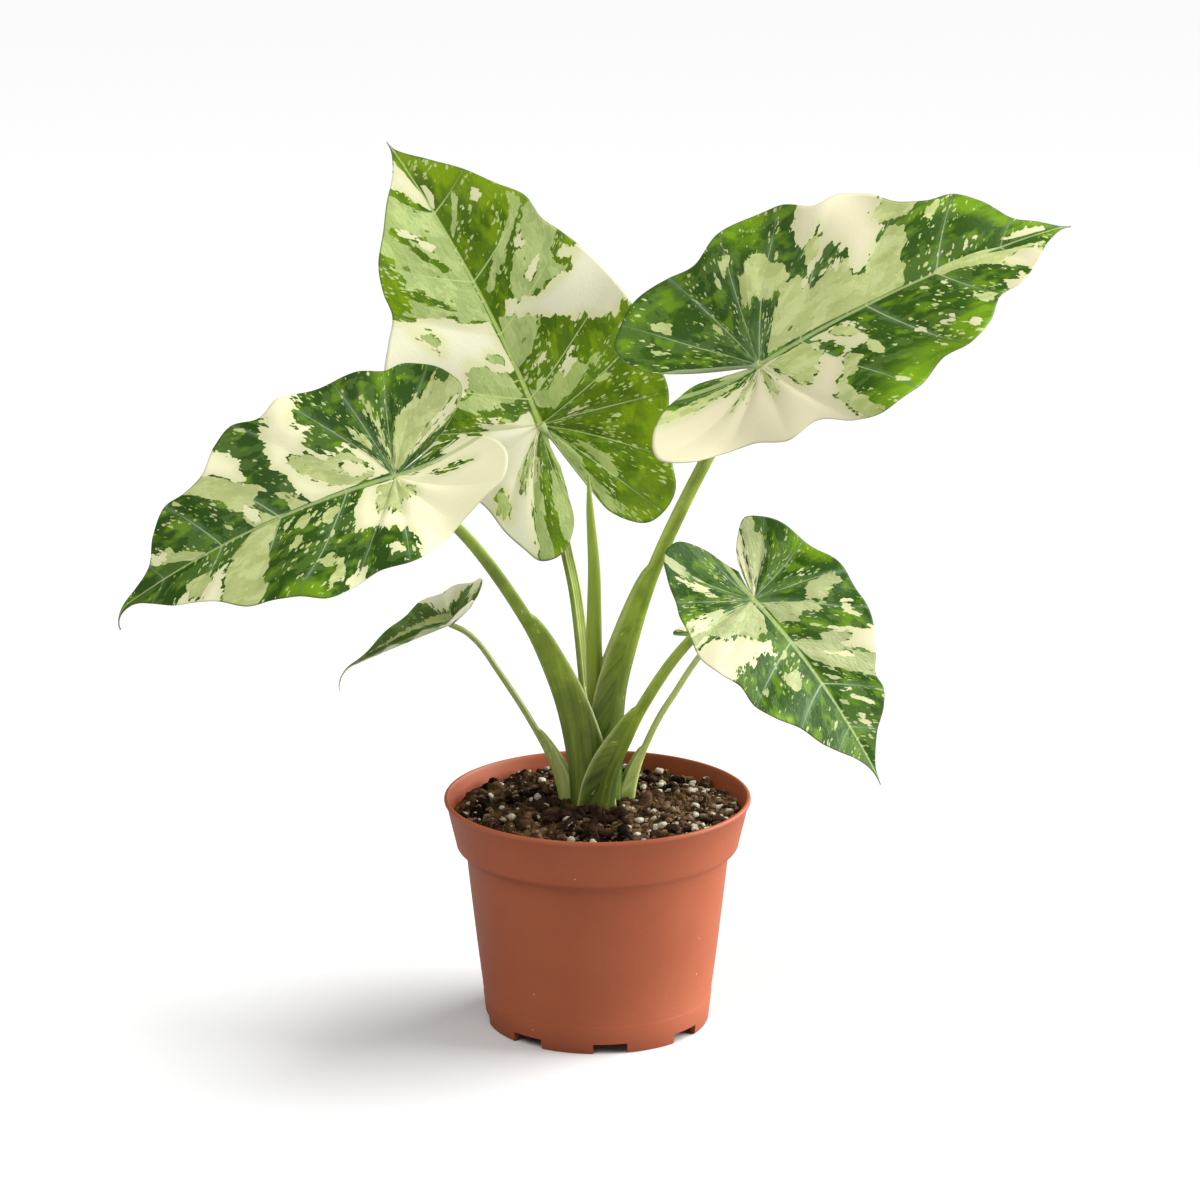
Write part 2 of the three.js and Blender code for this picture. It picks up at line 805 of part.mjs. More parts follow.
function addPiece(name, geometry, color, roughness) {
  const mesh = new THREE.Mesh(geometry, new THREE.MeshStandardMaterial({ color, roughness, metalness: 0 }));
  mesh.name = name;
  plant.add(mesh);
}

addPiece("pot", surfaceOf(potBody()), colours.pot, 0.5);
addPiece("soil", surfaceOf(soilBody()), colours.soil, 0.95);
addPiece("corm", latheUp(cormProfile(), cormSegments), colours.corm, 0.9);

// The stalks' sheaths wrap each other, so each is cut clear of the ones before it, in this order.
const wrapped = ["leaf_4", "leaf_1", "leaf_3", "leaf_2", "leaf_5", "leaf_6"];
const taken = [solid(newLeafGeometry(touchGap))];
const belowFeet = new THREE.BoxGeometry(120, 120, 40);
belowFeet.translate(0, 0, stalkFoot - 20);
const footCut = solid(belowFeet);
addPiece("new_leaf", surfaceOf(largest(solid(newLeafGeometry()).subtract(footCut))), colours.newLeaf, 0.5);
for (const name of wrapped) {
  const leaf = leaves.find((entry) => entry.name === name);
  let stalk = solid(stalkGeometry(leaf)).subtract(footCut);
  for (const neighbour of [...bladeClearance(leaf), ...taken]) stalk = stalk.subtract(neighbour);
  addPiece(`${leaf.name}_stem`, surfaceOf(largest(stalk)), colours.stalk, 0.5);
  taken.push(solid(stalkGeometry(leaf, touchGap)));
}

for (const leaf of leaves) {
  addPiece(`${leaf.name}_blade`, bladeGeometry(leaf), colours.blade, 0.45);
}

export default plant;
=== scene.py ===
"""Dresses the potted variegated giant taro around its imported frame.

The plant has six heart-shaped blades on channelled stalks, one new leaf still rolled, and its corm in the
soil of a thin plastic nursery pot. Lengths are written in millimetres and turned to metres where a mesh is
made.
"""

import logging
import math
from dataclasses import dataclass
from enum import Enum
from functools import partial

import bmesh
import bpy
import numpy as np
from mathutils import Matrix, Vector

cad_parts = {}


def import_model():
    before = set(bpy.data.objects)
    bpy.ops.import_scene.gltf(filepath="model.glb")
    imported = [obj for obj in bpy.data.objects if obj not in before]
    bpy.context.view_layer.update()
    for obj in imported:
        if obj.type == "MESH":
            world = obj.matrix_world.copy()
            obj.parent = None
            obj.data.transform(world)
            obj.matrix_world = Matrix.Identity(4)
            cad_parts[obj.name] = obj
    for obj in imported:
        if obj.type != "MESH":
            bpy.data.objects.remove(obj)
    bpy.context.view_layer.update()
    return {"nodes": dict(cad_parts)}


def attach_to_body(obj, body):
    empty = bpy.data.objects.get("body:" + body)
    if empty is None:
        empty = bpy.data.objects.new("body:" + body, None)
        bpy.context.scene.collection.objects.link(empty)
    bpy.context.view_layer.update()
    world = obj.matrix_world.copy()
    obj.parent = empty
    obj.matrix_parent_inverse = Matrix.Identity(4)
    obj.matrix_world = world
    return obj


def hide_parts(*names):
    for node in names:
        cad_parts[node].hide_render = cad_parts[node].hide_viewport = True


LOG = logging.getLogger("taro")
BODY = "root"
MM = 0.001
FULL_TURN = 2 * math.pi

Pair = tuple[float, float]
Triple = tuple[float, float, float]
Colour = tuple[float, float, float]
Array = np.ndarray
Material = bpy.types.Material
Node = bpy.types.Node
Piece = bpy.types.Object
Socket = bpy.types.NodeSocket
Tree = bpy.types.NodeTree


class Tone(Enum):
    """The colours that a variegated blade is patched with, and its painted backlight."""

    CREAM = "cream"
    SAGE = "sage"
    GREEN = "green"
    # Not a colour of the leaf: painted backlight, yellow-green light shining through the blade.
    LIME = "backlit"


class Slot(Enum):
    """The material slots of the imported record."""

    POT = "pot"
    SOIL = "soil"
    STALK = "stalk"
    LEAF = "leaf"
    NEW_LEAF = "new_leaf"


def unit(vectors: Array) -> Array:
    """Returns the vectors at length one."""
    return vectors / np.maximum(np.linalg.norm(vectors, axis=-1, keepdims=True), 1e-12)


def columns(*values: object) -> Array:
    """Returns the values side by side along a new last axis, each spread to the shape of the largest."""
    return np.stack(np.broadcast_arrays(*values), axis=-1)


def around_axis(radius: object, angle: object) -> tuple[Array, Array]:
    """Returns the x and y of places at a radius and an angle in radians."""
    return radius * np.cos(angle), radius * np.sin(angle)


def distance_along(line: Array) -> Array:
    """Returns how far along a line each of its points lies."""
    return np.concatenate([[0.0], np.cumsum(np.linalg.norm(np.diff(line, axis=0), axis=1))])


def smooth_step(low: float, high: float, value: Array) -> Array:
    """Returns 0 below low, 1 above high and a soft ramp between."""
    share = np.clip((value - low) / (high - low), 0.0, 1.0)
    return share * share * (3.0 - 2.0 * share)


def smooth_curve(points: Array, places: Array) -> Array:
    """Follows a centripetal curve through points.

    Args:
        points: The points that the curve passes, one a row.
        places: Where to read it, counted in points, so 1.5 is halfway from the second to the third.

    Returns:
        One point for each place.
    """
    ends = np.vstack([2 * points[0] - points[1], points, 2 * points[-1] - points[-2]])
    place = np.clip(places, 0, len(points) - 1)
    index = np.minimum(place.astype(int), len(points) - 2)
    share = (place - index)[:, None]
    before, start, end, after = (ends[index + shift] for shift in range(4))

    def spacing(first: Array, second: Array) -> Array:
        """Returns the root of the distance between rows."""
        return np.sqrt(np.maximum(np.linalg.norm(second - first, axis=1, keepdims=True), 1e-6))

    gap_a, gap_b, gap_c = spacing(before, start), spacing(start, end), spacing(end, after)
    leave = (start - before) / gap_a - (end - before) / (gap_a + gap_b) + (end - start) / gap_b
    arrive = (end - start) / gap_b - (after - start) / (gap_b + gap_c) + (after - end) / gap_c
    leave, arrive = leave * gap_b, arrive * gap_b
    bend = (3 * (end - start) - 2 * leave - arrive) + (2 * (start - end) + leave + arrive) * share
    return start + leave * share + bend * share**2


def signed_distance(points: Array, outline: Array) -> Array:
    """Measures how far inside a closed outline each point lies.

    Args:
        points: Flat points, one a row.
        outline: The outline's corners in order.

    Returns:
        Distances that are positive inside and negative outside.
    """
    nearest = np.full(len(points), np.inf)
    inside = np.zeros(len(points), bool)
    for start, end in zip(outline, np.roll(outline, -1, axis=0)):
        side = end - start
        reach = points - start
        share = np.clip(reach @ side / max(side @ side, 1e-9), 0.0, 1.0)
        nearest = np.minimum(nearest, np.linalg.norm(reach - share[:, None] * side, axis=1))
        crosses = (start[1] > points[:, 1]) != (end[1] > points[:, 1])
        rise = side[1] if abs(side[1]) > 1e-9 else 1e-9
        inside ^= crosses & (points[:, 0] < side[0] * (points[:, 1] - start[1]) / rise + start[0])
    return np.where(inside, nearest, -nearest)


class ValueNoise:
    """Smooth repeatable noise on a plane, from 0 to 1."""

    size = 64
    layer_shift = (7.3, 3.1)

    def __init__(self, seed: int) -> None:
        """Fills a square of random values."""
        self.values = np.random.default_rng(seed).random((self.size, self.size))

    def at(self, x: Array, y: Array) -> Array:
        """Returns the noise at places counted in cells."""
        left = np.floor(x).astype(int)
        low = np.floor(y).astype(int)
        across = smooth_step(0.0, 1.0, x - left)
        along = smooth_step(0.0, 1.0, y - low)
        corner = [
            self.values[(left + dx) % self.size, (low + dy) % self.size] for dx in (0, 1) for dy in (0, 1)
        ]
        near = corner[0] * (1 - along) + corner[1] * along
        far = corner[2] * (1 - along) + corner[3] * along
        return near * (1 - across) + far * across

    def layered(self, x: Array, y: Array, layers: int) -> Array:
        """Returns several sizes of the noise added up, from 0 to 1."""
        total = np.zeros_like(x)
        shift_x, shift_y = self.layer_shift
        for layer in range(layers):
            finer = 2**layer
            total += self.at(x * finer + shift_x * layer, y * finer + shift_y * layer) / finer
        return total / sum(0.5**layer for layer in range(layers))


@dataclass
class Surface:
    """A closed mesh in the making: points in millimetres, triangles and what each corner carries."""

    points: Array
    triangles: Array
    corners: dict[str, Array]

    def to_object(self, name: str, material: Material) -> Piece:
        """Makes the smooth Blender object, at the origin, with its place in its mesh."""
        mesh = bpy.data.meshes.new(name)
        mesh.from_pydata((self.points * MM).tolist(), [], self.triangles.tolist())
        mesh.shade_smooth()
        for label, values in self.corners.items():
            kind, field = ("FLOAT_VECTOR", "vector") if values.ndim == 2 else ("FLOAT", "value")
            attribute = mesh.attributes.new(label, kind, "CORNER")
            attribute.data.foreach_set(field, values.astype(np.float32).ravel())
        mesh.materials.append(material)
        mesh.update()
        return linked(name, mesh)


def linked(name: str, data: object) -> Piece:
    """Makes an object of some data and links it to the scene."""
    made = bpy.data.objects.new(name, data)
    bpy.context.scene.collection.objects.link(made)
    return made


def place_piece(piece: Piece, slot: Slot, *nodes: str) -> None:
    """Lets a piece ride on the plant and stand for its nodes, and reports it."""
    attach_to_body(piece, BODY)
    if nodes:
        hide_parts(*nodes)
    LOG.info("%s: %d faces, stands for %s", piece.name, len(piece.data.polygons), nodes or "no node")


class NodeBench:
    """Adds and wires nodes in one node tree."""

    def __init__(self, tree: Tree) -> None:
        """Keeps the tree to work in."""
        self.tree = tree

    def feed(self, target: Socket, source: object) -> None:
        """Links a socket to the target, or sets the target to a plain value."""
        if isinstance(source, Socket):
            self.tree.links.new(source, target)
        elif isinstance(source, tuple) and target.type == "RGBA":
            target.default_value = (*source, 1.0)
        else:
            target.default_value = source

    def node(self, kind: str, *values: object, **settings: object) -> Node:
        """Adds a node with its settings and feeds its inputs in order, passing over None."""
        made = self.tree.nodes.new(kind)
        for name, value in settings.items():
            setattr(made, name, value)
        for socket, value in zip(made.inputs, values):
            if value is not None:
                self.feed(socket, value)
        return made

    def math(self, operation: str, *values: object, clamp: bool = False) -> Socket:
        """Returns the result of a maths node."""
        return self.node("ShaderNodeMath", *values, operation=operation, use_clamp=clamp).outputs[0]

    def times(self, first: object, second: object) -> Socket:
        """Returns a product."""
        return self.math("MULTIPLY", first, second)

    def scaled(self, value: object, gain: object, base: object) -> Socket:
        """Returns the value times the gain, plus the base."""
        return self.math("MULTIPLY_ADD", value, gain, base)

    def vector_math(self, operation: str, first: object, second: object) -> Socket:
        """Returns the vector result of a vector maths node."""
        return self.node("ShaderNodeVectorMath", first, second, operation=operation).outputs[0]

    def stretch(self, place: object, along_across: Pair) -> Socket:
        """Returns a place with its first two numbers multiplied."""
        return self.vector_math("MULTIPLY", place, (*along_across, 1.0))

    def over(self, skin: object, colour: object, mask: object, strength: float = 1.0) -> Socket:
        """Returns the skin with a colour over it where the mask is 1, as strongly as told."""
        share = mask if strength == 1.0 else self.times(mask, strength)
        skipped = [None] * 5
        return self.node("ShaderNodeMix", share, *skipped, skin, colour, data_type="RGBA").outputs[2]

    def between(self, share: object, first: object, second: object) -> Socket:
        """Returns the number between two numbers."""
        return self.node("ShaderNodeMix", share, None, first, second, data_type="FLOAT").outputs[0]

    def ramp(self, value: object, low: float, high: float) -> Socket:
        """Returns 0 where the value is under low, 1 over high and a soft ramp between."""
        kind = {"interpolation_type": "SMOOTHSTEP", "clamp": True}
        return self.node("ShaderNodeMapRange", value, low, high, **kind).outputs[0]

    def fade(self, value: object, low: float, high: float) -> Socket:
        """Returns 1 where the value is under low, 0 over high and a soft ramp between."""
        return self.math("SUBTRACT", 1.0, self.ramp(value, low, high))

    def noise_node(self, place: object, scale: object, detail: float = 2.0, rough: float = 0.5) -> Node:
        """Adds a noise texture that is read at a place."""
        made = self.node("ShaderNodeTexNoise", place)
        self.feed(made.inputs["Scale"], scale)
        made.inputs["Detail"].default_value = detail
        made.inputs["Roughness"].default_value = rough
        return made

    def noise(self, place: object, scale: object = 1.0, **settings: float) -> Socket:
        """Returns a noise value from 0 to 1 at a place."""
        return self.noise_node(place, scale, **settings).outputs[0]

    def cells(self, place: object, scale: object, **settings: str) -> Node:
        """Adds a cell pattern that is read at a place."""
        made = self.node("ShaderNodeTexVoronoi", place, **settings)
        self.feed(made.inputs["Scale"], scale)
        return made

    def wander(self, place: object, scale: float, reach: float) -> Socket:
        """Returns a place pushed about on its plane by noise, as far as half the reach."""
        push = self.noise_node(place, scale).outputs["Color"]
        push = self.vector_math("SUBTRACT", push, (0.5, 0.5, 0.5))
        push = self.vector_math("MULTIPLY", push, (reach, reach, 0.0))
        return self.vector_math("ADD", place, push)

    def split(self, vector: object) -> tuple[Socket, ...]:
        """Returns a vector's three numbers."""
        return tuple(self.node("ShaderNodeSeparateXYZ", vector).outputs)

    def group(self, tree: Tree, **values: object) -> Socket:
        """Places a shared group with its own values and returns what it puts out."""
        made = self.node("ShaderNodeGroup", node_tree=tree)
        for name, value in values.items():
            self.feed(made.inputs[name.capitalize()], value)
        return made.outputs[0]


class SharedGroups:
    """The shader node groups that more than one finish uses. Each is built once.

    A grain is a place along and across the side veins or fibres. The stretches say how fine each effect is
    along and across it.
    """

    tooth_stretch = (0.11, 0.28)
    nick_stretch = (0.42, 0.62)
    fleck_stretch = (0.10, 0.27)
    crowd_stretch = (0.035, 0.05)
    streak_stretch = (0.045, 1.0)
    calm_reach = (0.5, 14.0)
    largest_fleck = 0.38

    def __init__(self) -> None:
        """Builds every group."""
        self.mottle = self._mottle()
        self.jagged = self._jagged()
        self.flecks = self._flecks()
        self.streaks = self._streaks()

    @staticmethod
    def _start(name: str, output: str, vector: str, *floats: str) -> tuple[NodeBench, list[Socket], Socket]:
        """Opens a group.

        Args:
            name: The group's name.
            output: The name of its one output, a float.
            vector: The name of its vector input.
            *floats: The names of its float inputs.

        Returns:
            A bench on the group, its inputs in the order given and its output.
        """
        tree = bpy.data.node_groups.new(name, "ShaderNodeTree")
        tree.interface.new_socket(name=vector, in_out="INPUT", socket_type="NodeSocketVector")
        for label in floats:
            tree.interface.new_socket(name=label, in_out="INPUT", socket_type="NodeSocketFloat")
        tree.interface.new_socket(name=output, in_out="OUTPUT", socket_type="NodeSocketFloat")
        bench = NodeBench(tree)
        given = bench.node("NodeGroupInput").outputs
        return bench, [given[label] for label in (vector, *floats)], bench.node("NodeGroupOutput").inputs[0]

    def _mottle(self) -> Tree:
        """Returns the group for slow uneven variation between a low and a high value."""
        bench, given, result = self._start("mottle", "Value", "Place", "Scale", "Low", "High")
        place, scale, low, high = given
        share = bench.ramp(bench.noise(place, scale, detail=4.0, rough=0.55), 0.3, 0.7)
        bench.feed(result, bench.between(share, low, high))
        return bench.tree

    def _jagged(self) -> Tree:
        """Returns the group that cuts a distance field into a patch with teeth along the side veins."""
        bench, (grain, field, tooth), result = self._start("jagged patch", "Mask", "Grain", "Field", "Tooth")
        teeth = bench.noise(bench.stretch(grain, self.tooth_stretch))
        nicks = bench.noise(bench.stretch(grain, self.nick_stretch), detail=1.0)
        coarse = bench.times(bench.math("SUBTRACT", teeth, 0.5), 2.1)
        shift = bench.scaled(bench.math("SUBTRACT", nicks, 0.5), 0.55, coarse)
        calm = bench.ramp(bench.split(grain)[0], *self.calm_reach)
        moved = bench.scaled(shift, bench.times(tooth, calm), field)
        bench.feed(result, bench.ramp(moved, -0.16, 0.16))
        return bench.tree

    def _flecks(self) -> Tree:
        """Returns the group for small marks drawn out along the side veins and gathered in clusters."""
        bench, given, result = self._start("vein flecks", "Mask", "Grain", "Shift", "Size", "Amount")
        grain, shift, size, amount = given
        moved = bench.vector_math("ADD", grain, shift)
        drawn_out = bench.wander(bench.stretch(moved, self.fleck_stretch), scale=2.4, reach=0.6)
        spots = bench.cells(drawn_out, bench.math("DIVIDE", 1.0, size), voronoi_dimensions="2D")
        chance = bench.split(spots.outputs["Color"])[0]
        crowd = bench.noise(bench.stretch(moved, self.crowd_stretch), detail=1.0)
        kept = bench.times(amount, bench.scaled(bench.ramp(crowd, 0.38, 0.66), 1.7, 0.2))
        radius = bench.math("ADD", bench.math("SUBTRACT", chance, 1.0), kept)
        radius = bench.math("MINIMUM", bench.times(radius, 2.2), self.largest_fleck)
        bench.feed(result, bench.ramp(bench.math("SUBTRACT", radius, spots.outputs["Distance"]), 0.0, 0.07))
        return bench.tree

    def _streaks(self) -> Tree:
        """Returns the group for fine lines along the grain, from 0 to 1."""
        bench, (grain, width), result = self._start("fibre streaks", "Value", "Grain", "Width")
        scale = bench.math("DIVIDE", 1.0, width)
        noise = bench.noise(bench.stretch(grain, self.streak_stretch), scale, detail=3.0, rough=0.6)
        bench.feed(result, bench.ramp(noise, 0.3, 0.7))
        return bench.tree


class MaterialBench(NodeBench):
    """A bench on one new material, with its Principled shader and the shared groups at hand."""

    def __init__(self, name: str, groups: SharedGroups) -> None:
        """Starts the material."""
        self.material = bpy.data.materials.new(name)
        self.material.use_nodes = True
        super().__init__(self.material.node_tree)
        self.shader = self.tree.nodes["Principled BSDF"].inputs
        self.groups = groups

    def carried(self, name: str, output: str = "Vector") -> Socket:
        """Reads what the mesh carries under a name."""
        return self.node("ShaderNodeAttribute", attribute_name=name).outputs[output]

    def place(self) -> Socket:
        """Returns the place on the object, in metres."""
        return self.node("ShaderNodeTexCoord").outputs["Object"]

    def mottle(self, place: object, scale: float, low: float = 0.0, high: float = 1.0) -> Socket:
        """Returns slow uneven variation."""
        return self.group(self.groups.mottle, place=place, scale=scale, low=low, high=high)

    def jagged(self, field: object, grain: object, tooth: float) -> Socket:
        """Returns the mask of a patch with teeth."""
        return self.group(self.groups.jagged, field=field, grain=grain, tooth=tooth)

    def flecks(self, grain: object, shift: float, size: float, amount: float) -> Socket:
        """Returns the mask of small marks. Each shift gives marks at other places."""
        return self.group(self.groups.flecks, grain=grain, shift=shift, size=size, amount=amount)

    def streaks(self, grain: object, width: float) -> Socket:
        """Returns fine lines along the grain."""
        return self.group(self.groups.streaks, grain=grain, width=width)

    def dress(self, colour: object, roughness: object, specular: float) -> None:
        """Gives the shader its colour and its gloss."""
        self.feed(self.shader["Base Color"], colour)
        self.feed(self.shader["Roughness"], roughness)
        self.shader["Specular IOR Level"].default_value = specular

    def bump(self, height: object, relief: float, strength: float = 1.0) -> None:
        """Roughens the surface by a height from 0 to 1 that stands for a relief in millimetres."""
        made = self.node("ShaderNodeBump")
        made.inputs["Distance"].default_value = relief * MM
        made.inputs["Strength"].default_value = strength
        self.feed(made.inputs["Height"], height)
        self.feed(self.shader["Normal"], made.outputs[0])


@dataclass(frozen=True)
class LeafFinish:
    """A variegated blade's skin, with a painted sheen beside its side veins and painted backlight in its
    green.
    """

    name: str
    deep: Colour = (0.026, 0.074, 0.005)
    middle: Colour = (0.076, 0.150, 0.022)
    # The yellow-green of painted backlight, light shining through the blade.
    backlit_green: Colour = (0.150, 0.290, 0.006)
    speck: Colour = (0.340, 0.460, 0.070)
    # The bluish grey of a painted sheen beside the side veins.
    sheen: Colour = (0.120, 0.205, 0.095)
    sage: Colour = (0.370, 0.430, 0.145)
    sage_light: Colour = (0.580, 0.630, 0.290)
    cream: Colour = (0.670, 0.625, 0.420)
    cream_edge: Colour = (0.600, 0.600, 0.340)
    vein: Colour = (0.400, 0.500, 0.200)
    margin: Colour = (0.060, 0.095, 0.030)
    under: Colour = (0.420, 0.500, 0.270)
    roughness: float = 0.45
    specular: float = 0.12
    tooth: float = 4.2
    cream_tooth: float = 6.5
    relief: float = 0.2
    marks: float = 0.20
    vein_strength: float = 0.52
    on_cream: float = 0.25
    net_stretch: Pair = (0.24, 0.33)
    back_paleness: float = 0.55
    translucence: float = 0.0
    glow_depth: float = 2.0

    def greens(
        self, bench: MaterialBench, grain: object, glow: object, gap: object, inward: object
    ) -> Socket:
        """Returns the colour of the green ground.

        Args:
            bench: The material's bench.
            grain: Places along and across the side veins.
            glow: How much painted backlight the green shows, from 0 to 1.
            gap: The distance from the nearest side vein, in widths of the vein.
            inward: The distance from the margin in millimetres.

        Returns:
            Deep to middle green, with a painted bluish sheen beside the side veins, painted backlight near
            the margin and in soft blotches, and yellow-green specks.
        """
        slow = bench.jagged(bench.mottle(grain, 0.05, -9.0, 7.0), grain, self.tooth)
        ground = bench.over(self.deep, self.middle, slow, 0.7)
        # Painted sheen: a bluish-grey band beside each side vein stands for gloss on the raised blade.
        beside = bench.fade(gap, 0.6, 8.0)
        uneven = bench.mottle(grain, 0.07, 0.05, 0.75)
        ground = bench.over(ground, self.sheen, bench.times(beside, uneven))
        # Painted backlight: yellow-green blotches and a band along the margin stand for light shining
        # through the blade, with less of it beside the veins.
        backlit_blotch = bench.noise(bench.vector_math("ADD", grain, (5.0, 61.0, 9.0)), 0.1)
        backlit_blotch = bench.times(bench.ramp(backlit_blotch, 0.50, 0.68), 0.65)
        glow_here = bench.times(glow, bench.scaled(bench.fade(inward, 2.0, 22.0), 1.1, 0.45))
        glow_here = bench.times(glow_here, bench.mottle(grain, 0.07, 0.25, 1.0))
        backlit_share = bench.math("ADD", glow_here, backlit_blotch, clamp=True)
        ground = bench.over(ground, self.backlit_green, bench.times(backlit_share, bench.scaled(beside, -0.5, 1.0)))
        return bench.over(ground, self.speck, bench.flecks(grain, shift=61.0, size=0.36, amount=0.13), 0.75)

    def sages(self, bench: MaterialBench, grain: object, glow: object) -> Socket:
        """Returns the colour of the grey-green patches, with soft paler cells in them and tinted by painted
        backlight.

        Args:
            bench: The material's bench.
            grain: Places along and across the side veins.
            glow: How much painted backlight the leaf shows, from 0 to 1.

        Returns:
            The colour.
        """
        cut = bench.jagged(bench.mottle(grain, 0.075, -8.0, 6.0), grain, self.tooth)
        pale = bench.scaled(cut, 0.35, bench.mottle(grain, 0.12, 0.0, 0.35))
        pale = bench.scaled(bench.streaks(grain, 2.6), 0.12, pale)
        # Painted backlight tints the sage yellow-green.
        return bench.over(bench.over(self.sage, self.sage_light, pale), self.speck, glow, 0.35)

    def veined(
        self, bench: MaterialBench, skin: object, on_green: object, veins: tuple[object, ...]
    ) -> Socket:
        """Returns the skin with its pale midrib and side veins and its darker edge.

        Args:
            bench: The material's bench.
            skin: The colour so far.
            on_green: 1 on green and less inside a cream patch, where veins hardly show.
            veins: The gaps to the side vein and the midrib, in their widths, and to the margin.

        Returns:
            The colour.
        """
        side_vein, midrib, margin = veins
        fading = bench.scaled(bench.ramp(margin, 4.0, 34.0), self.vein_strength, 0.2)
        side_line = bench.times(bench.times(bench.fade(side_vein, 0.35, 1.0), fading), on_green)
        skin = bench.over(skin, self.vein, side_line)
        skin = bench.over(skin, self.vein, bench.fade(midrib, 0.6, 1.2), 0.7)
        return bench.over(skin, self.margin, bench.times(bench.fade(margin, 0.2, 0.75), on_green), 0.6)

    def patched(
        self, bench: MaterialBench, grain: object, veins: tuple[object, ...]
    ) -> tuple[Socket, Socket]:
        """Lays sage and cream patches and small marks over the green.

        Args:
            bench: The material's bench.
            grain: Places along and across the side veins.
            veins: The gaps to the side vein, the midrib and the margin.

        Returns:
            The colour and the mask of the cream patches.
        """
        # The third field is painted backlight, light shining through the blade.
        cream_field, sage_field, glow = bench.split(bench.carried("tones"))
        ground = self.greens(bench, grain, glow, veins[0], veins[2])
        cream_marks = bench.flecks(grain, shift=127.0, size=0.8, amount=0.05)
        green = bench.over(ground, self.sage_light, bench.flecks(grain, 0.0, 1.1, 0.12), 0.85)
        green = bench.over(green, self.sage_light, bench.flecks(grain, 41.0, 0.42, self.marks), 0.75)
        green = bench.over(green, self.cream_edge, cream_marks)
        sage = self.sages(bench, grain, glow)
        sage = bench.over(sage, ground, bench.flecks(grain, 83.0, 0.8, 0.10), 0.8)
        sage = bench.over(sage, self.cream, cream_marks)
        cream_mask = bench.jagged(
            cream_field, bench.vector_math("ADD", grain, (0.0, 7.0, 3.0)), self.cream_tooth
        )
        cream = bench.over(self.cream_edge, self.cream, bench.ramp(cream_field, 0.0, 7.0))
        skin = bench.over(green, sage, bench.jagged(sage_field, grain, self.tooth))
        return bench.over(skin, cream, cream_mask), cream_mask

    def material(self, groups: SharedGroups) -> Material:
        """Returns the finish as a material that reads the corner fields of a blade."""
        bench = MaterialBench(self.name, groups)
        grain = bench.carried("grain")
        veins = bench.split(bench.carried("veins"))
        upper = bench.carried("upper", "Fac")
        skin, cream_mask = self.patched(bench, grain, veins)
        skin = self.veined(bench, skin, bench.scaled(cream_mask, self.on_cream - 1.0, 1.0), veins)
        fine = bench.mottle(grain, 0.4)
        rough = bench.between(fine, self.roughness - 0.05, self.roughness + 0.08)
        back = bench.over(skin, self.under, self.back_paleness)
        rough = bench.between(upper, self.roughness + 0.2, rough)
        bench.dress(bench.over(back, skin, upper), rough, self.specular)
        bench.shader["Subsurface Weight"].default_value = self.translucence
        bench.shader["Subsurface Radius"].default_value = (1.0, 1.0, 0.7)
        bench.shader["Subsurface Scale"].default_value = self.glow_depth * MM
        net = bench.cells(bench.stretch(grain, self.net_stretch), 1.0, feature="DISTANCE_TO_EDGE")
        raised = bench.scaled(bench.ramp(net.outputs["Distance"], 0.0, 0.2), 0.6, bench.times(fine, 0.4))
        raised = bench.times(raised, bench.scaled(cream_mask, -0.7, 1.0))
        bench.bump(raised, self.relief, 0.6)
        return bench.material


@dataclass(frozen=True)
class StalkFinish:
    """The waxy skin of a stalk, its sheath and the rolled new leaf."""

    name: str
    low: Colour = (0.022, 0.062, 0.001)
    middle: Colour = (0.245, 0.370, 0.012)
    high: Colour = (0.330, 0.440, 0.060)
    pale: Colour = (0.400, 0.500, 0.050)
    lip: Colour = (0.620, 0.670, 0.280)
    inside: Colour = (0.360, 0.460, 0.120)
    roughness: float = 0.36
    specular: float = 0.25
    banding: float = 0.40
    flecks: float = 0.10

    def material(self, groups: SharedGroups) -> Material:
        """Returns the finish as a material that reads the corner fields of a stalk."""
        bench = MaterialBench(self.name, groups)
        grain = bench.carried("grain")
        climb, lip, hollow = bench.split(bench.carried("stalk"))
        skin = bench.over(self.low, self.middle, bench.ramp(climb, 0.25, 0.48))
        skin = bench.over(skin, self.high, bench.ramp(climb, 0.42, 0.85))
        streaks = bench.streaks(grain, 1.1)
        # Pale lengthwise streaks: partly painted gloss streaks and shading along the stalk, partly its own
        # paler striping.
        skin = bench.over(skin, self.pale, bench.streaks(grain, 5.0), self.banding)
        skin = bench.over(skin, self.lip, streaks, 0.12)
        skin = bench.over(skin, self.low, bench.mottle(grain, 0.06), 0.42)
        skin = bench.over(skin, self.lip, bench.flecks(grain, shift=13.0, size=0.5, amount=self.flecks), 0.5)
        skin = bench.over(skin, self.inside, hollow, 0.5)
        skin = bench.over(skin, self.lip, lip, 0.85)
        rough = bench.between(streaks, self.roughness, self.roughness + 0.12)
        bench.dress(skin, rough, self.specular)
        bench.bump(streaks, 0.15, 0.5)
        return bench.material


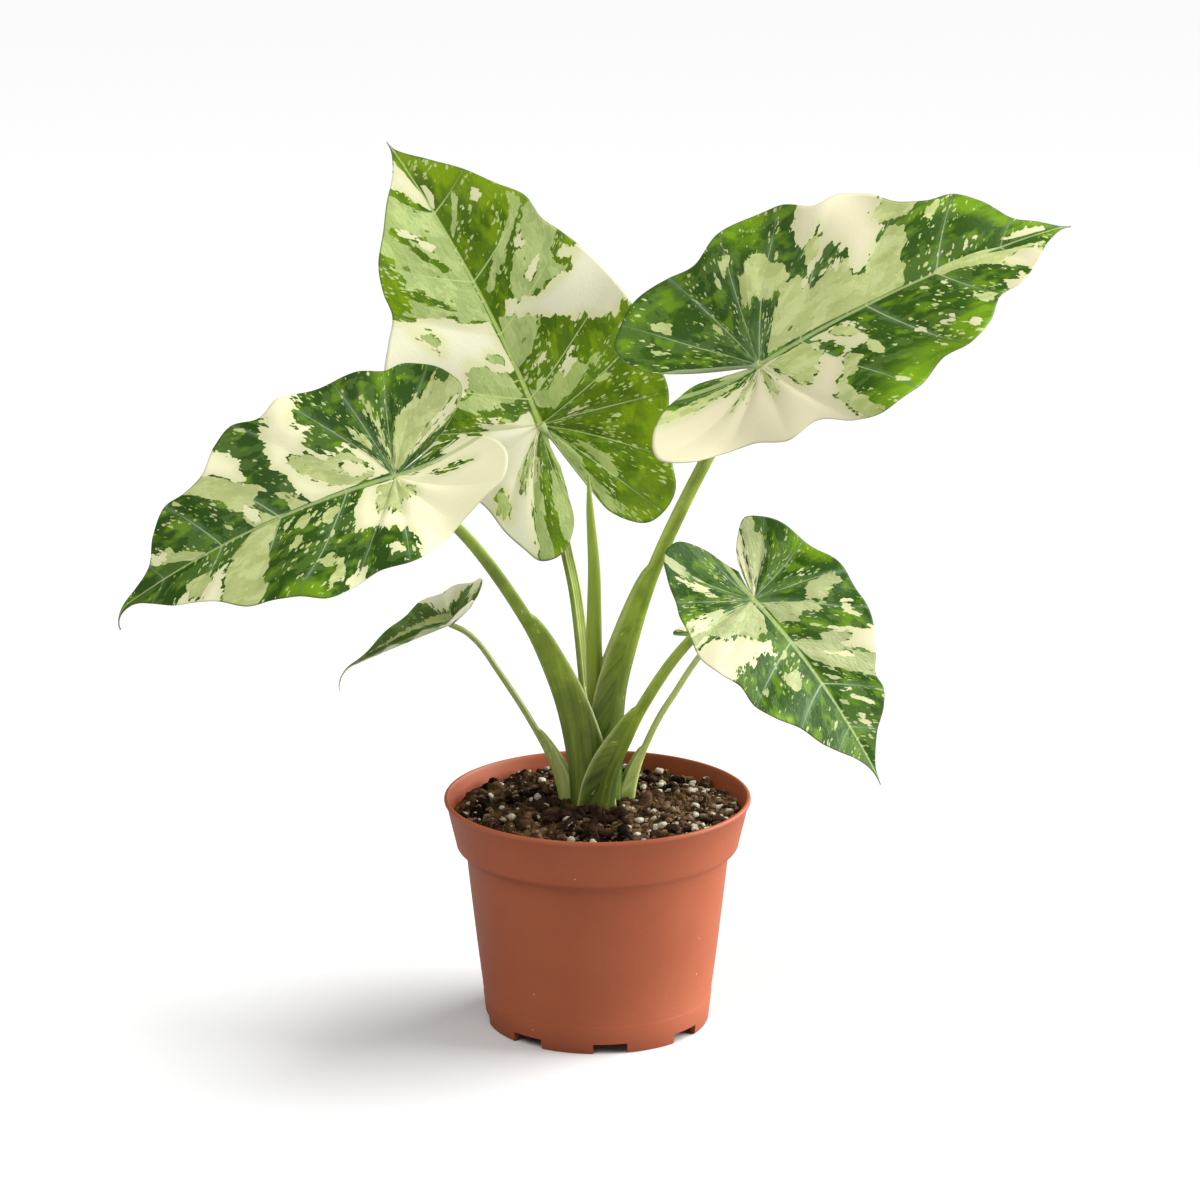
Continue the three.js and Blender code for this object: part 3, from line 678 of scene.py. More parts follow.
@dataclass(frozen=True)
class PotFinish:
    """Satin moulded plastic with faint flow marks and pale specks."""

    name: str = "pot plastic"
    colour: Colour = (0.365, 0.090, 0.035)
    pale: Colour = (0.430, 0.115, 0.048)
    speck: Colour = (0.750, 0.480, 0.360)
    roughness: float = 0.48
    specular: float = 0.28
    flow_scale: float = 28.0
    grain_scale: float = 900.0
    speck_scale: float = 75.0

    def material(self, groups: SharedGroups) -> Material:
        """Returns the finish as a material."""
        bench = MaterialBench(self.name, groups)
        place = bench.place()
        fine = bench.mottle(place, self.grain_scale)
        skin = bench.over(self.colour, self.pale, bench.mottle(place, self.flow_scale), 0.35)
        skin = bench.over(skin, self.pale, fine, 0.08)
        dots = bench.fade(bench.cells(place, self.speck_scale).outputs["Distance"], 0.025, 0.045)
        skin = bench.over(skin, self.speck, dots, 0.6)
        bench.dress(skin, bench.between(fine, self.roughness, self.roughness + 0.1), self.specular)
        bench.bump(fine, 0.08, 0.35)
        return bench.material


@dataclass(frozen=True)
class CrumbFinish:
    """A rough earthy or mineral finish between two colours."""

    name: str
    dark: Colour
    light: Colour
    scale: float
    roughness: float = 0.9
    relief: float = 0.5
    specular: float = 0.04

    def material(self, groups: SharedGroups) -> Material:
        """Returns the finish as a material."""
        bench = MaterialBench(self.name, groups)
        place = bench.place()
        fine = bench.mottle(place, self.scale * 5.0)
        share = bench.scaled(bench.mottle(place, self.scale), 0.65, bench.times(fine, 0.35))
        patchy = bench.mottle(place, self.scale * 0.3, -0.4, 1.9)
        skin = bench.over(self.dark, self.light, bench.math("MULTIPLY", share, patchy, clamp=True))
        bench.dress(skin, bench.between(fine, self.roughness - 0.15, self.roughness), self.specular)
        bench.bump(fine, self.relief)
        return bench.material


@dataclass(frozen=True)
class Patch:
    """One patch of a blade's variegation, or of its painted backlight.

    Each corner is a side vein's number, counted from the cleft between the lobes, and a share of the way
    from the midrib to the margin, which is positive on the left half and negative on the right.
    """

    tone: Tone
    outline: tuple[Pair, ...]

    def along_veins(self, steps: int = 6) -> Array:
        """Returns the outline with points added on each side, so that it can follow the curve of a vein."""
        corners = np.array(self.outline, float)
        share = np.arange(steps)[None, :, None] / steps
        after = np.roll(corners, -1, axis=0)
        return (corners[:, None] * (1 - share) + after[:, None] * share).reshape(-1, 2)


@dataclass(frozen=True)
class StalkForm:
    """A stalk's route from its foot and its radii, in millimetres."""

    route: tuple[Triple, ...]
    foot_radius: float
    shoulder_radius: float
    top_radius: float
    sheath_length: float
    sheath_depth: float


@dataclass(frozen=True)
class LeafForm:
    """A leaf's pose and outline, in millimetres and degrees, as the frame has them.

    x runs along the midrib from where the stalk joins it, and y to its left.
    """

    name: str
    attach: Triple
    heading: float
    climb: float
    roll: float
    length: float
    droop: float
    bow: float
    cup: float
    fall: float
    lobe_lift: float
    wave: float
    wave_length: float
    drip_droop: float
    rib_height: float
    left: tuple[Pair, ...]
    right: tuple[Pair, ...]
    tip: float
    stalk: StalkForm
    patches: tuple[Patch, ...] = ()
    # How much painted backlight, yellow-green light shining through the blade, lies over all its green, from
    # 0 to 1.
    glow: float = 0.0

    def axes(self) -> tuple[Array, Array, Array]:
        """Returns the unit vectors along, across and above the blade where the stalk joins it."""
        turn, rise, roll = (math.radians(angle) for angle in (self.heading, self.climb, self.roll))
        along = np.array([math.cos(rise) * math.cos(turn), math.cos(rise) * math.sin(turn), math.sin(rise)])
        level = np.array([-math.sin(turn), math.cos(turn), 0.0])
        across = level * math.cos(roll) + np.cross(along, level) * math.sin(roll)
        return along, across, np.cross(along, across)


def patch(tone: Tone, *outline: Pair) -> Patch:
    """Returns a patch of one tone. Green ones cover what lies under them; the last kind paints yellow-green
    backlight over it.
    """
    return Patch(tone, outline)


# The last kind of patch is painted backlight, yellow-green light shining through the blade, not a colour of
# its own.
cream, sage, green, backlit = (partial(patch, tone) for tone in Tone)

LEAF_1_PATCHES = (
    cream((11.4, 0.03), (11.5, 0.25), (11.1, 0.43), (10, 0.5), (9.2, 0.6), (8, 0.62), (7.6, 0.72),
        (7.5, 1.1), (1.1, 1.1), (0.4, 0.6), (2, 0.04)),
    green((0, 0.08), (0, 1.1), (0.6, 0.85), (1, 0.74), (1.5, 0.6), (1.9, 0.45), (2.3, 0.25), (2.5, 0.06)),
    green((3, 0.33), (2.6, 0.48), (2.5, 0.66), (2.7, 0.76), (3, 0.6), (3.15, 0.42)),
    sage((10.9, 0.06), (10.4, 0.3), (10, 0.38), (9.5, 0.32), (8.8, 0.4), (8.2, 0.42), (7.8, 0.3),
        (6.8, 0.34), (5.8, 0.34), (5.2, 0.28), (6.2, 0.18), (7, 0.05)),
    sage((14, 0.02), (14.1, 0.3), (13.9, 0.55), (13.8, 0.75), (13.4, 0.82), (13.7, 1.1), (14.7, 1.1),
        (15.1, 0.75), (15.3, 0.5), (15.2, 0.25), (14.9, 0.03)),
    cream((14.7, 1.1), (15.1, 0.78), (15.3, 0.5), (15.6, 0.55), (16.2, 0.62), (16.6, 0.75), (17, 0.85),
        (16.9, 1.1)),
    sage((15.9, 0.5), (16.3, 0.5), (16.8, 0.6), (16.7, 0.78), (16.2, 0.92), (15.7, 0.95), (15.6, 0.7)),
    sage((13, 0.1), (13.3, 0.14), (13.25, 0.27), (13, 0.3), (12.9, 0.2)),
    sage((12.3, 0.1), (12.6, 0.18), (12.35, 0.3), (12.1, 0.32), (12.05, 0.18)),
    sage((13.1, 0.36), (13.2, 0.5), (12.9, 0.55), (12.8, 0.42)),
    sage((11.4, 0.62), (11.7, 0.6), (12, 0.68), (11.6, 0.74), (11.3, 0.7)),
    sage((11.2, 0.66), (11.3, 0.8), (11.1, 0.93), (10.8, 0.8)),
    cream((10.6, 0.86), (10.3, 0.92), (10.2, 1.1), (9.2, 1.1), (9.5, 0.9), (10, 0.84)),
    cream((8.7, 0.78), (8.3, 0.75), (8.1, 0.84), (8.5, 0.87)),
    sage((5.2, -0.06), (5.1, -0.5), (4.6, -0.52), (4.3, -0.62), (4.1, -0.72), (3.8, -0.72), (3.7, -0.95),
        (3.3, -1.1), (1.4, -1.1), (1.4, -0.7), (1.9, -0.4), (2.6, -0.08)),
    cream((2.2, -0.95), (2.3, -0.6), (2.4, -0.3), (2, -0.35), (1.6, -0.6), (1.5, -0.95)),
    green((0, -0.05), (2.2, -0.12), (2, -0.42), (1.4, -0.75), (1.1, -1.1), (0, -1.1)),
    green((3.5, -0.9), (3.6, -1.1), (2.6, -1.1), (3, -0.93)),
    sage((7.4, -0.75), (7.1, -0.78), (6.6, -0.35), (6.3, -0.05), (6.8, -0.08), (7, -0.4)),
    sage((9.3, -0.28), (9.2, -0.5), (8.9, -0.55), (8.5, -0.4), (8.6, -0.3)),
    cream((9, -1.1), (9.5, -0.92), (10.4, -0.84), (10.7, -0.78), (10.4, -0.69), (11, -0.65), (11.6, -0.5),
        (11.3, -0.4), (10.3, -0.43), (9.9, -0.3), (9.9, -0.05), (13, -0.02), (13.1, -0.2), (12.7, -0.38),
        (12.9, -0.5), (12.6, -0.6), (12.1, -0.72), (11.9, -0.8), (11.1, -0.92), (10.9, -1.1)),
    sage((10.6, -0.08), (10.4, -0.35), (11.4, -0.38), (12.1, -0.48), (12.4, -0.44), (12.5, -0.3),
        (12.2, -0.1), (11.6, -0.04)),
    cream((10.5, -0.12), (11, -0.28), (11.5, -0.25), (11.4, -0.1)),
    cream((13.05, -1.1), (13.05, -0.75), (13.3, -0.7), (13.6, -0.58), (13.75, -0.62), (13.9, -0.85),
        (14.1, -1.1)),
    sage((14.1, -1.1), (13.8, -0.8), (13.6, -0.5), (13.4, -0.25), (13.05, -0.03), (14.8, -0.03),
        (14.7, -0.25), (14.7, -0.5), (14.8, -0.8), (15.1, -1.1)),
    green((13.45, -0.15), (13.65, -0.42), (14.1, -0.38), (14.2, -0.2), (14.1, -0.05), (13.6, -0.03)),
    cream((14.3, -0.38), (14.55, -0.3), (14.7, -0.08), (14.45, -0.06), (14.3, -0.2)),
    sage((16.5, -0.03), (16.9, -0.25), (17.1, -0.55), (17.5, -0.85), (17.9, -0.9), (17.7, -0.5),
        (17.3, -0.2), (17, -0.03)),
    cream((17.3, -0.6), (17.6, -0.95), (17.9, -0.8), (17.6, -0.5)),
    backlit((5.6, -0.75), (6.4, -0.75), (6.4, -1.1), (5.6, -1.1)),
    backlit((11.4, 0.85), (12.6, 0.85), (12.6, 1.1), (10.8, 1.1)),
)
LEAF_2_PATCHES = (
    sage((18.3, 1.1), (18, 0.5), (18, 0.03), (14.4, 0.03), (14.2, 0.2), (14.3, 0.5), (14.2, 0.7),
        (14.2, 0.9), (15, 1.1), (17.5, 1.1)),
    cream((19.6, 0.9), (19, 1.1), (18.5, 1.1), (18.6, 0.7), (18.3, 0.35), (18.05, 0.03), (18.6, 0.02),
        (19.2, 0.3)),
    green((17.3, 0.95), (16.9, 0.9), (16.6, 0.6), (16.2, 0.25), (16.4, 0.25), (16.8, 0.6)),
    cream((17.1, 0.85), (16.9, 0.6), (16.75, 0.35), (17, 0.35), (17.1, 0.6)),
    green((15.7, 1.1), (15.3, 0.98), (14.9, 0.65), (14.6, 0.4), (14.8, 0.35), (15.1, 0.5), (15.3, 0.7)),
    green((16.5, 1.1), (16.2, 0.85), (15.6, 0.76), (14.3, 0.8), (14.3, 1.1)),
    cream((13.9, 1.1), (13.9, 0.85), (14.2, 0.72), (14.4, 0.5), (14.35, 0.3), (14.5, 0.05), (12.9, 0.02),
        (12.6, 0.12), (12.9, 0.3), (12.9, 0.4), (12.3, 0.42), (11.9, 0.45), (11.4, 0.62), (11.2, 0.8),
        (11, 1.1)),
    sage((13.6, 0.85), (13.7, 0.7), (13.5, 0.6), (13.1, 0.6), (13.3, 0.75)),
    sage((13.3, 0.08), (13.3, 0.22), (13, 0.24), (12.95, 0.1)),
    sage((12.8, 0.1), (12.9, 0.4), (12.4, 0.43), (11.9, 0.42), (11.4, 0.6), (11.3, 0.45), (11.6, 0.25),
        (12.1, 0.04)),
    cream((11.6, 0.04), (11.1, 0.2), (11, 0.42), (10.6, 0.45), (10.2, 0.4), (9.8, 0.5), (9.6, 1.1),
        (4.1, 1.1), (4.1, 0.6), (3.9, 0.3), (4.4, 0.04)),
    sage((6.9, 0.8), (6.3, 0.72), (6, 0.78), (6, 0.9), (6.6, 0.95)),
    sage((5.8, 0.5), (5.2, 0.6), (4.6, 0.3), (5, 0.15), (5.6, 0.3)),
    sage((4, 0.3), (4, 1.1), (3.4, 1.1), (3.3, 0.6), (3.5, 0.3)),
    sage((2.3, 0.5), (1.2, 0.6), (1, 1.1), (2.6, 1.1), (2.7, 0.7)),
    cream((18.7, -0.25), (18.8, -0.1), (18.2, -0.02), (18.05, -0.05), (18.4, -0.25)),
    sage((17.9, -0.55), (17.7, -0.5), (17.2, -0.1), (17.1, -0.02), (17.4, -0.1), (17.7, -0.35)),
    cream((17.4, -0.62), (17.5, -0.78), (17.2, -0.8), (17.2, -0.66)),
    sage((16.5, -0.95), (16.2, -0.7), (15.9, -0.35), (15.5, -0.08), (15.3, -0.1), (15.5, -0.35),
        (15.8, -0.65), (16.1, -0.95)),
    sage((15.9, -0.95), (15.4, -0.6), (14.9, -0.35), (14.4, -0.3), (14.1, -0.3), (13.9, -0.45),
        (13.75, -0.62), (13.5, -0.72), (13.3, -0.85), (13.35, -1.1), (14, -1.1), (15.4, -1.1)),
    cream((15.4, -0.5), (15.6, -0.62), (15.4, -0.74), (15.2, -0.66)),
    cream((14.6, -0.62), (14.5, -0.5), (14.2, -0.5), (14.2, -0.62), (14.4, -0.7)),
    green((14.1, -0.78), (14.2, -1.1), (13.4, -1.1), (13.3, -0.88), (13.6, -0.78)),
    cream((13.8, -0.84), (13.9, -0.92), (13.5, -0.94), (13.5, -0.85)),
    cream((13.4, -1.1), (13.4, -0.8), (13.6, -0.62), (13.8, -0.48), (14.2, -0.32), (14.6, -0.22),
        (14.3, -0.1), (13.9, -0.2), (13.4, -0.38), (13.2, -0.42), (12.8, -0.5), (12.4, -0.6), (12.2, -0.68),
        (11.9, -0.72), (11.5, -0.78), (11.2, -0.85), (11, -1.1)),
    sage((14.5, -0.06), (14, -0.2), (13.5, -0.38), (13.2, -0.35), (12.9, -0.1), (12.9, -0.02),
        (13.8, -0.02)),
    cream((12.75, -0.1), (12.6, -0.25), (12.45, -0.25), (12.55, -0.1)),
    sage((12.3, -0.03), (11.9, -0.1), (11.7, -0.35), (11.8, -0.5), (11.4, -0.45), (11.1, -0.5),
        (10.9, -0.62), (10.7, -0.62), (10.8, -0.4), (11, -0.15), (11.6, -0.03)),
    cream((11.9, -0.32), (11.9, -0.48), (11.5, -0.45), (11.6, -0.32)),
    cream((8.9, -0.25), (8.7, -0.38), (8.5, -0.35), (8.4, -0.22)),
    sage((10.1, -0.52), (9.8, -0.65), (9.5, -0.6), (9.7, -0.5)),
    sage((5, -0.35), (4.9, -0.55), (4.4, -0.7), (3.9, -0.65), (4.2, -0.45), (4.5, -0.3)),
    sage((3.2, -0.35), (2.9, -0.55), (2.6, -0.95), (2, -0.95), (1.8, -0.6), (2.4, -0.3)),
    sage((3.8, -0.12), (3.6, -0.4), (2.6, -0.5), (1, -0.4), (0, -0.8), (0, -0.06)),
    backlit((0, -0.05), (12.9, -0.05), (12.9, -1.1), (0, -1.1)),
    backlit((17, -0.5), (20, -0.3), (20, -1.1), (15, -1.1)),
    backlit((18, 0.75), (14, 0.7), (14, 1.1), (18, 1.1)),
    backlit((4, 0.1), (7, 0.1), (7, 1.1), (4, 1.1)),
)
LEAF_3_PATCHES = (
    sage((7.7, 0.7), (8.2, 0.75), (8.3, 0.68), (8.1, 0.82), (7.8, 0.84), (7.6, 0.78)),
    sage((4.6, 0.72), (4.2, 0.7), (4, 0.8), (4.4, 0.85)),
    sage((3.2, 0.65), (3.3, 0.8), (3.1, 0.9), (3, 0.75)),
    sage((5.7, 0.4), (5.4, 0.38), (5.4, 0.46), (5.7, 0.48)),
    sage((8.2, 0.42), (8.6, 0.6), (9.1, 0.72), (9.6, 0.7), (9.9, 0.72), (10.1, 0.65), (10.6, 0.66),
        (11, 0.58), (11.1, 0.52), (10.5, 0.42), (9.9, 0.42), (9.4, 0.45), (8.9, 0.38)),
    sage((10.8, 0.05), (10.8, 0.42), (11.1, 0.56), (11.6, 0.48), (11.8, 0.38), (12.2, 0.42), (12.6, 0.5),
        (12.8, 0.42), (13, 0.5), (13.3, 0.36), (13.7, 0.35), (13.8, 0.5), (13.9, 0.62), (14, 0.78),
        (14.6, 0.76), (14.8, 0.6), (14.7, 0.45), (15, 0.25), (15.1, 0.03), (13, 0.03)),
    cream((10.4, 1.1), (10.6, 0.88), (11, 0.76), (11.4, 0.68), (11.8, 0.55), (11.8, 0.4), (12.4, 0.45),
        (12.8, 0.4), (13, 0.5), (13.3, 0.34), (13.6, 0.36), (13.8, 0.5), (13.9, 0.7), (13.8, 0.85),
        (13.4, 0.95), (13.6, 1.1)),
    sage((11.3, 0.72), (11.7, 0.8), (11.9, 0.72), (12.1, 0.6), (11.8, 0.52), (11.5, 0.6)),
    sage((12.7, 0.3), (12.9, 0.55), (13.1, 0.45), (13.2, 0.3)),
    green((11.9, 0.36), (12, 0.52), (12.3, 0.62), (12.7, 0.6), (12.6, 0.48), (12.3, 0.38)),
    sage((13.5, 1.1), (13.4, 0.85), (13.6, 0.78), (14.1, 0.85), (14.6, 0.9), (14.9, 1.1)),
    sage((15.1, 0.8), (15.4, 0.75), (15.7, 0.88), (15.5, 0.97), (15.2, 0.9)),
    sage((16.1, 0.85), (16.3, 0.82), (16.3, 0.92), (16.1, 0.94)),
    cream((16.9, 0.22), (17.1, 0.4), (17.2, 0.42), (17.1, 0.22)),
    sage((15.9, 0.06), (17.5, 0.1), (18, 0.03), (17, -0.12), (16, -0.1)),
    cream((18, 0.25), (18.6, 0.6), (19.3, 0.7), (19.5, 0.3), (18.8, 0.2)),
    sage((16.3, -0.05), (16.9, -0.18), (17.3, -0.4), (17.8, -0.9), (18.2, -1.1), (19.1, -0.8), (18.5, -0.3),
        (17.6, -0.03)),
    cream((17.6, -0.45), (17.7, -1.1), (18.6, -1.1), (18.8, -0.6), (18, -0.35)),
    cream((16.4, -0.95), (16.8, -0.85), (17.4, -0.88), (17.5, -1.1), (16.3, -1.1)),
    cream((15.9, -0.1), (15.75, -0.28), (15.8, -0.42), (15.95, -0.3)),
    sage((15.7, -0.55), (15.8, -0.75), (16, -0.95), (15.7, -0.95), (15.6, -0.75)),
    cream((14.7, -0.62), (14.5, -0.66), (14.6, -0.75), (14.8, -0.7)),
    cream((14.7, -0.83), (14.6, -0.9), (14.9, -0.93), (14.95, -0.85)),
    cream((14.2, -0.42), (14, -0.52), (13.95, -0.62), (14.15, -0.55)),
    cream((13.1, -0.05), (13.1, -0.25), (12.95, -0.38), (12.5, -0.4), (12.2, -0.38), (11.8, -0.48),
        (11.4, -0.58), (10.9, -0.7), (10.2, -1.1), (2.6, -1.1), (2.6, -0.7), (3, -0.4), (4, -0.06),
        (10.9, -0.02)),
    sage((12, -0.03), (12.1, -0.2), (11.7, -0.28), (11.1, -0.42), (10.5, -0.4), (10.6, -0.25),
        (10.2, -0.06)),
    sage((12.9, -0.05), (12.95, -0.3), (12.7, -0.3), (12.5, -0.1)),
    green((12.1, -0.02), (12.35, -0.15), (12.4, -0.3), (12.2, -0.36), (12.05, -0.3), (12, -0.15)),
    sage((8.9, -0.06), (8.9, -0.3), (8.6, -0.48), (8.2, -0.45), (7.8, -0.25), (7.4, -0.06)),
    sage((5.5, -0.06), (5, -0.3), (4.6, -0.45), (4.3, -0.35), (3.9, -0.06)),
    sage((2.6, -0.2), (2.7, -0.5), (2.8, -0.7), (2.7, -1.1), (2.3, -1.1), (2.2, -0.7), (2.2, -0.4)),
    sage((0, -0.3), (0.5, -0.9), (1.4, -0.5), (2, -0.2), (3, -0.04)),
    sage((11.6, -0.5), (11.2, -0.78), (10.9, -1.1), (10.2, -1.1), (10.6, -0.8), (10.9, -0.65),
        (11.3, -0.55)),
    sage((12.3, -0.36), (12.3, -0.5), (12, -0.55), (11.7, -0.6), (11.6, -0.5), (12, -0.4)),
    sage((12.9, -0.4), (12.7, -0.55), (12.4, -0.68), (12.45, -0.5)),
    backlit((8.2, 0.75), (9.6, 0.75), (9.6, 1.1), (8.2, 1.1)),
    backlit((10.8, -0.78), (13, -0.7), (15.6, -0.7), (15.6, -1.1), (10.8, -1.1)),
    backlit((15.4, 0.8), (20, 0.6), (20, 1.1), (15.4, 1.1)),
)
LEAF_4_PATCHES = (
    sage((4.2, 0.3), (4.3, 0.6), (4.05, 0.8), (3.5, 0.85), (3.4, 0.95), (3.3, 1.1), (2.6, 1.1), (2.6, 0.6),
        (2.9, 0.2)),
    cream((3.7, 0.05), (3.6, 0.3), (2.7, 0.35), (2.5, 0.6), (2.3, 1.1), (0.2, 1.1), (0.2, 0.1)),
    sage((8.3, 0.92), (7.9, 0.85), (8.1, 0.7), (8.3, 0.55), (9, 0.5), (9.9, 0.45), (9.9, 0.62), (9.3, 0.7),
        (9, 0.72), (8.7, 0.85)),
    sage((10, 0.05), (10, 0.35), (9.95, 0.62), (10.3, 0.55), (10.4, 0.38), (10.6, 0.3), (10.9, 0.28),
        (10.9, 0.05)),
    cream((9.7, 0.8), (9.5, 0.82), (9.5, 0.9), (9.7, 0.9)),
    cream((10.3, 0.75), (10.1, 0.78), (10.1, 0.88), (10.35, 0.92)),
    cream((7.5, 0.56), (7.2, 0.58), (7.1, 0.66), (7.4, 0.64)),
    cream((10.7, 1.1), (10.9, 0.9), (11.2, 0.8), (11.2, 0.55), (11.9, 0.6), (12, 1.1)),
    sage((11.3, 0.55), (11.2, 0.72), (11.5, 0.75), (11.9, 0.62), (12, 0.8), (12.1, 1.1), (13.1, 1.1),
        (13.2, 0.8), (13.2, 0.6), (13.1, 0.35), (12.8, 0.1), (12, 0.03), (11.8, 0.2), (11.85, 0.35),
        (11.4, 0.45)),
    cream((12.3, 0.55), (12.2, 0.75), (12.4, 0.7), (12.5, 0.4)),
    cream((14.3, 0.4), (14.5, 0.6), (14.7, 0.75), (14.9, 0.7), (14.6, 0.5)),
    cream((15.4, 0.45), (15.6, 0.7), (15.9, 0.8), (15.8, 0.5)),
    sage((14.7, 0.12), (14.8, 0.3), (15, 0.3), (14.95, 0.15)),
    sage((4, -1.1), (3.8, -0.85), (4, -0.72), (4.3, -0.72), (4.4, -0.9), (4.3, -1.1)),
    cream((4.7, -0.9), (4.5, -0.8), (4.5, -0.65), (4.7, -0.55), (5.3, -0.5), (5.4, -0.6), (5, -0.72),
        (4.9, -0.85)),
    cream((5.7, -0.3), (6.2, -0.35), (6.6, -0.3), (6.3, -0.25)),
    sage((7.3, -0.97), (7.1, -0.8), (7.1, -0.5), (7.7, -0.42), (7.7, -0.2), (8.5, -0.05), (10.5, -0.05),
        (10.9, -0.2), (10.7, -0.38), (10.1, -0.45), (9.5, -0.5), (9.3, -0.62), (8.6, -0.72), (8.2, -0.8),
        (8.2, -1.1), (7.6, -1.1)),
    cream((8.3, -1.1), (8.3, -0.82), (8.7, -0.7), (9.4, -0.6), (10.1, -0.46), (10.7, -0.4), (11, -0.35),
        (11.4, -0.26), (11.7, -0.32), (11.5, -0.42), (11.1, -0.55), (11.1, -0.7), (10.7, -0.8),
        (10.5, -1.1)),
    cream((7.3, -0.95), (7.2, -0.75), (7.6, -0.6), (7.9, -0.75), (7.8, -0.95)),
    sage((12.9, -0.2), (13.1, -0.3), (13.3, -0.45), (13, -0.55), (12.8, -0.5), (12.5, -0.48), (12.5, -0.38)),
    sage((12.2, -0.68), (12.3, -0.78), (12, -0.82), (11.9, -0.78)),
    backlit((12.6, -1.1), (12.8, -0.88), (13.4, -0.88), (13.7, -1.1)),
    backlit((5.4, 0.8), (7, 0.8), (7, 1.1), (5.4, 1.1)),
)
LEAF_5_PATCHES = (
    sage((12, -0.6), (9, -0.3), (8, -0.25), (7, -0.05), (4, -0.1), (8, -0.45), (10, -0.5)),
    cream((7.1, -1.1), (6.8, -0.7), (6.9, -0.45), (6.2, -0.35), (5, -0.5), (4.5, -0.5), (4.2, -0.9),
        (3.7, -0.9), (3.2, -0.6), (2.4, -0.6), (2.2, -1.1)),
    cream((2, 0.3), (2, 1.1), (4.6, 1.1), (4.4, 0.5)),
    sage((7, 0.1), (7, 0.7), (9, 1.1), (10, 0.7), (9, 0.2)),
)
LEAF_6_PATCHES = (
    cream((3, 0.3), (3.4, 1.1), (5.6, 1.1), (6.2, 0.5), (5, 0.2)),
    sage((7, 0.1), (7, 0.6), (8, 1.1), (9.4, 0.8), (9, 0.2)),
    sage((6.4, -0.1), (6.2, -0.7), (7.4, -1.1), (8.6, -0.7), (8, -0.1)),
    cream((9.2, -0.2), (9, -0.8), (10.4, -1.1), (10.6, -0.4)),
)

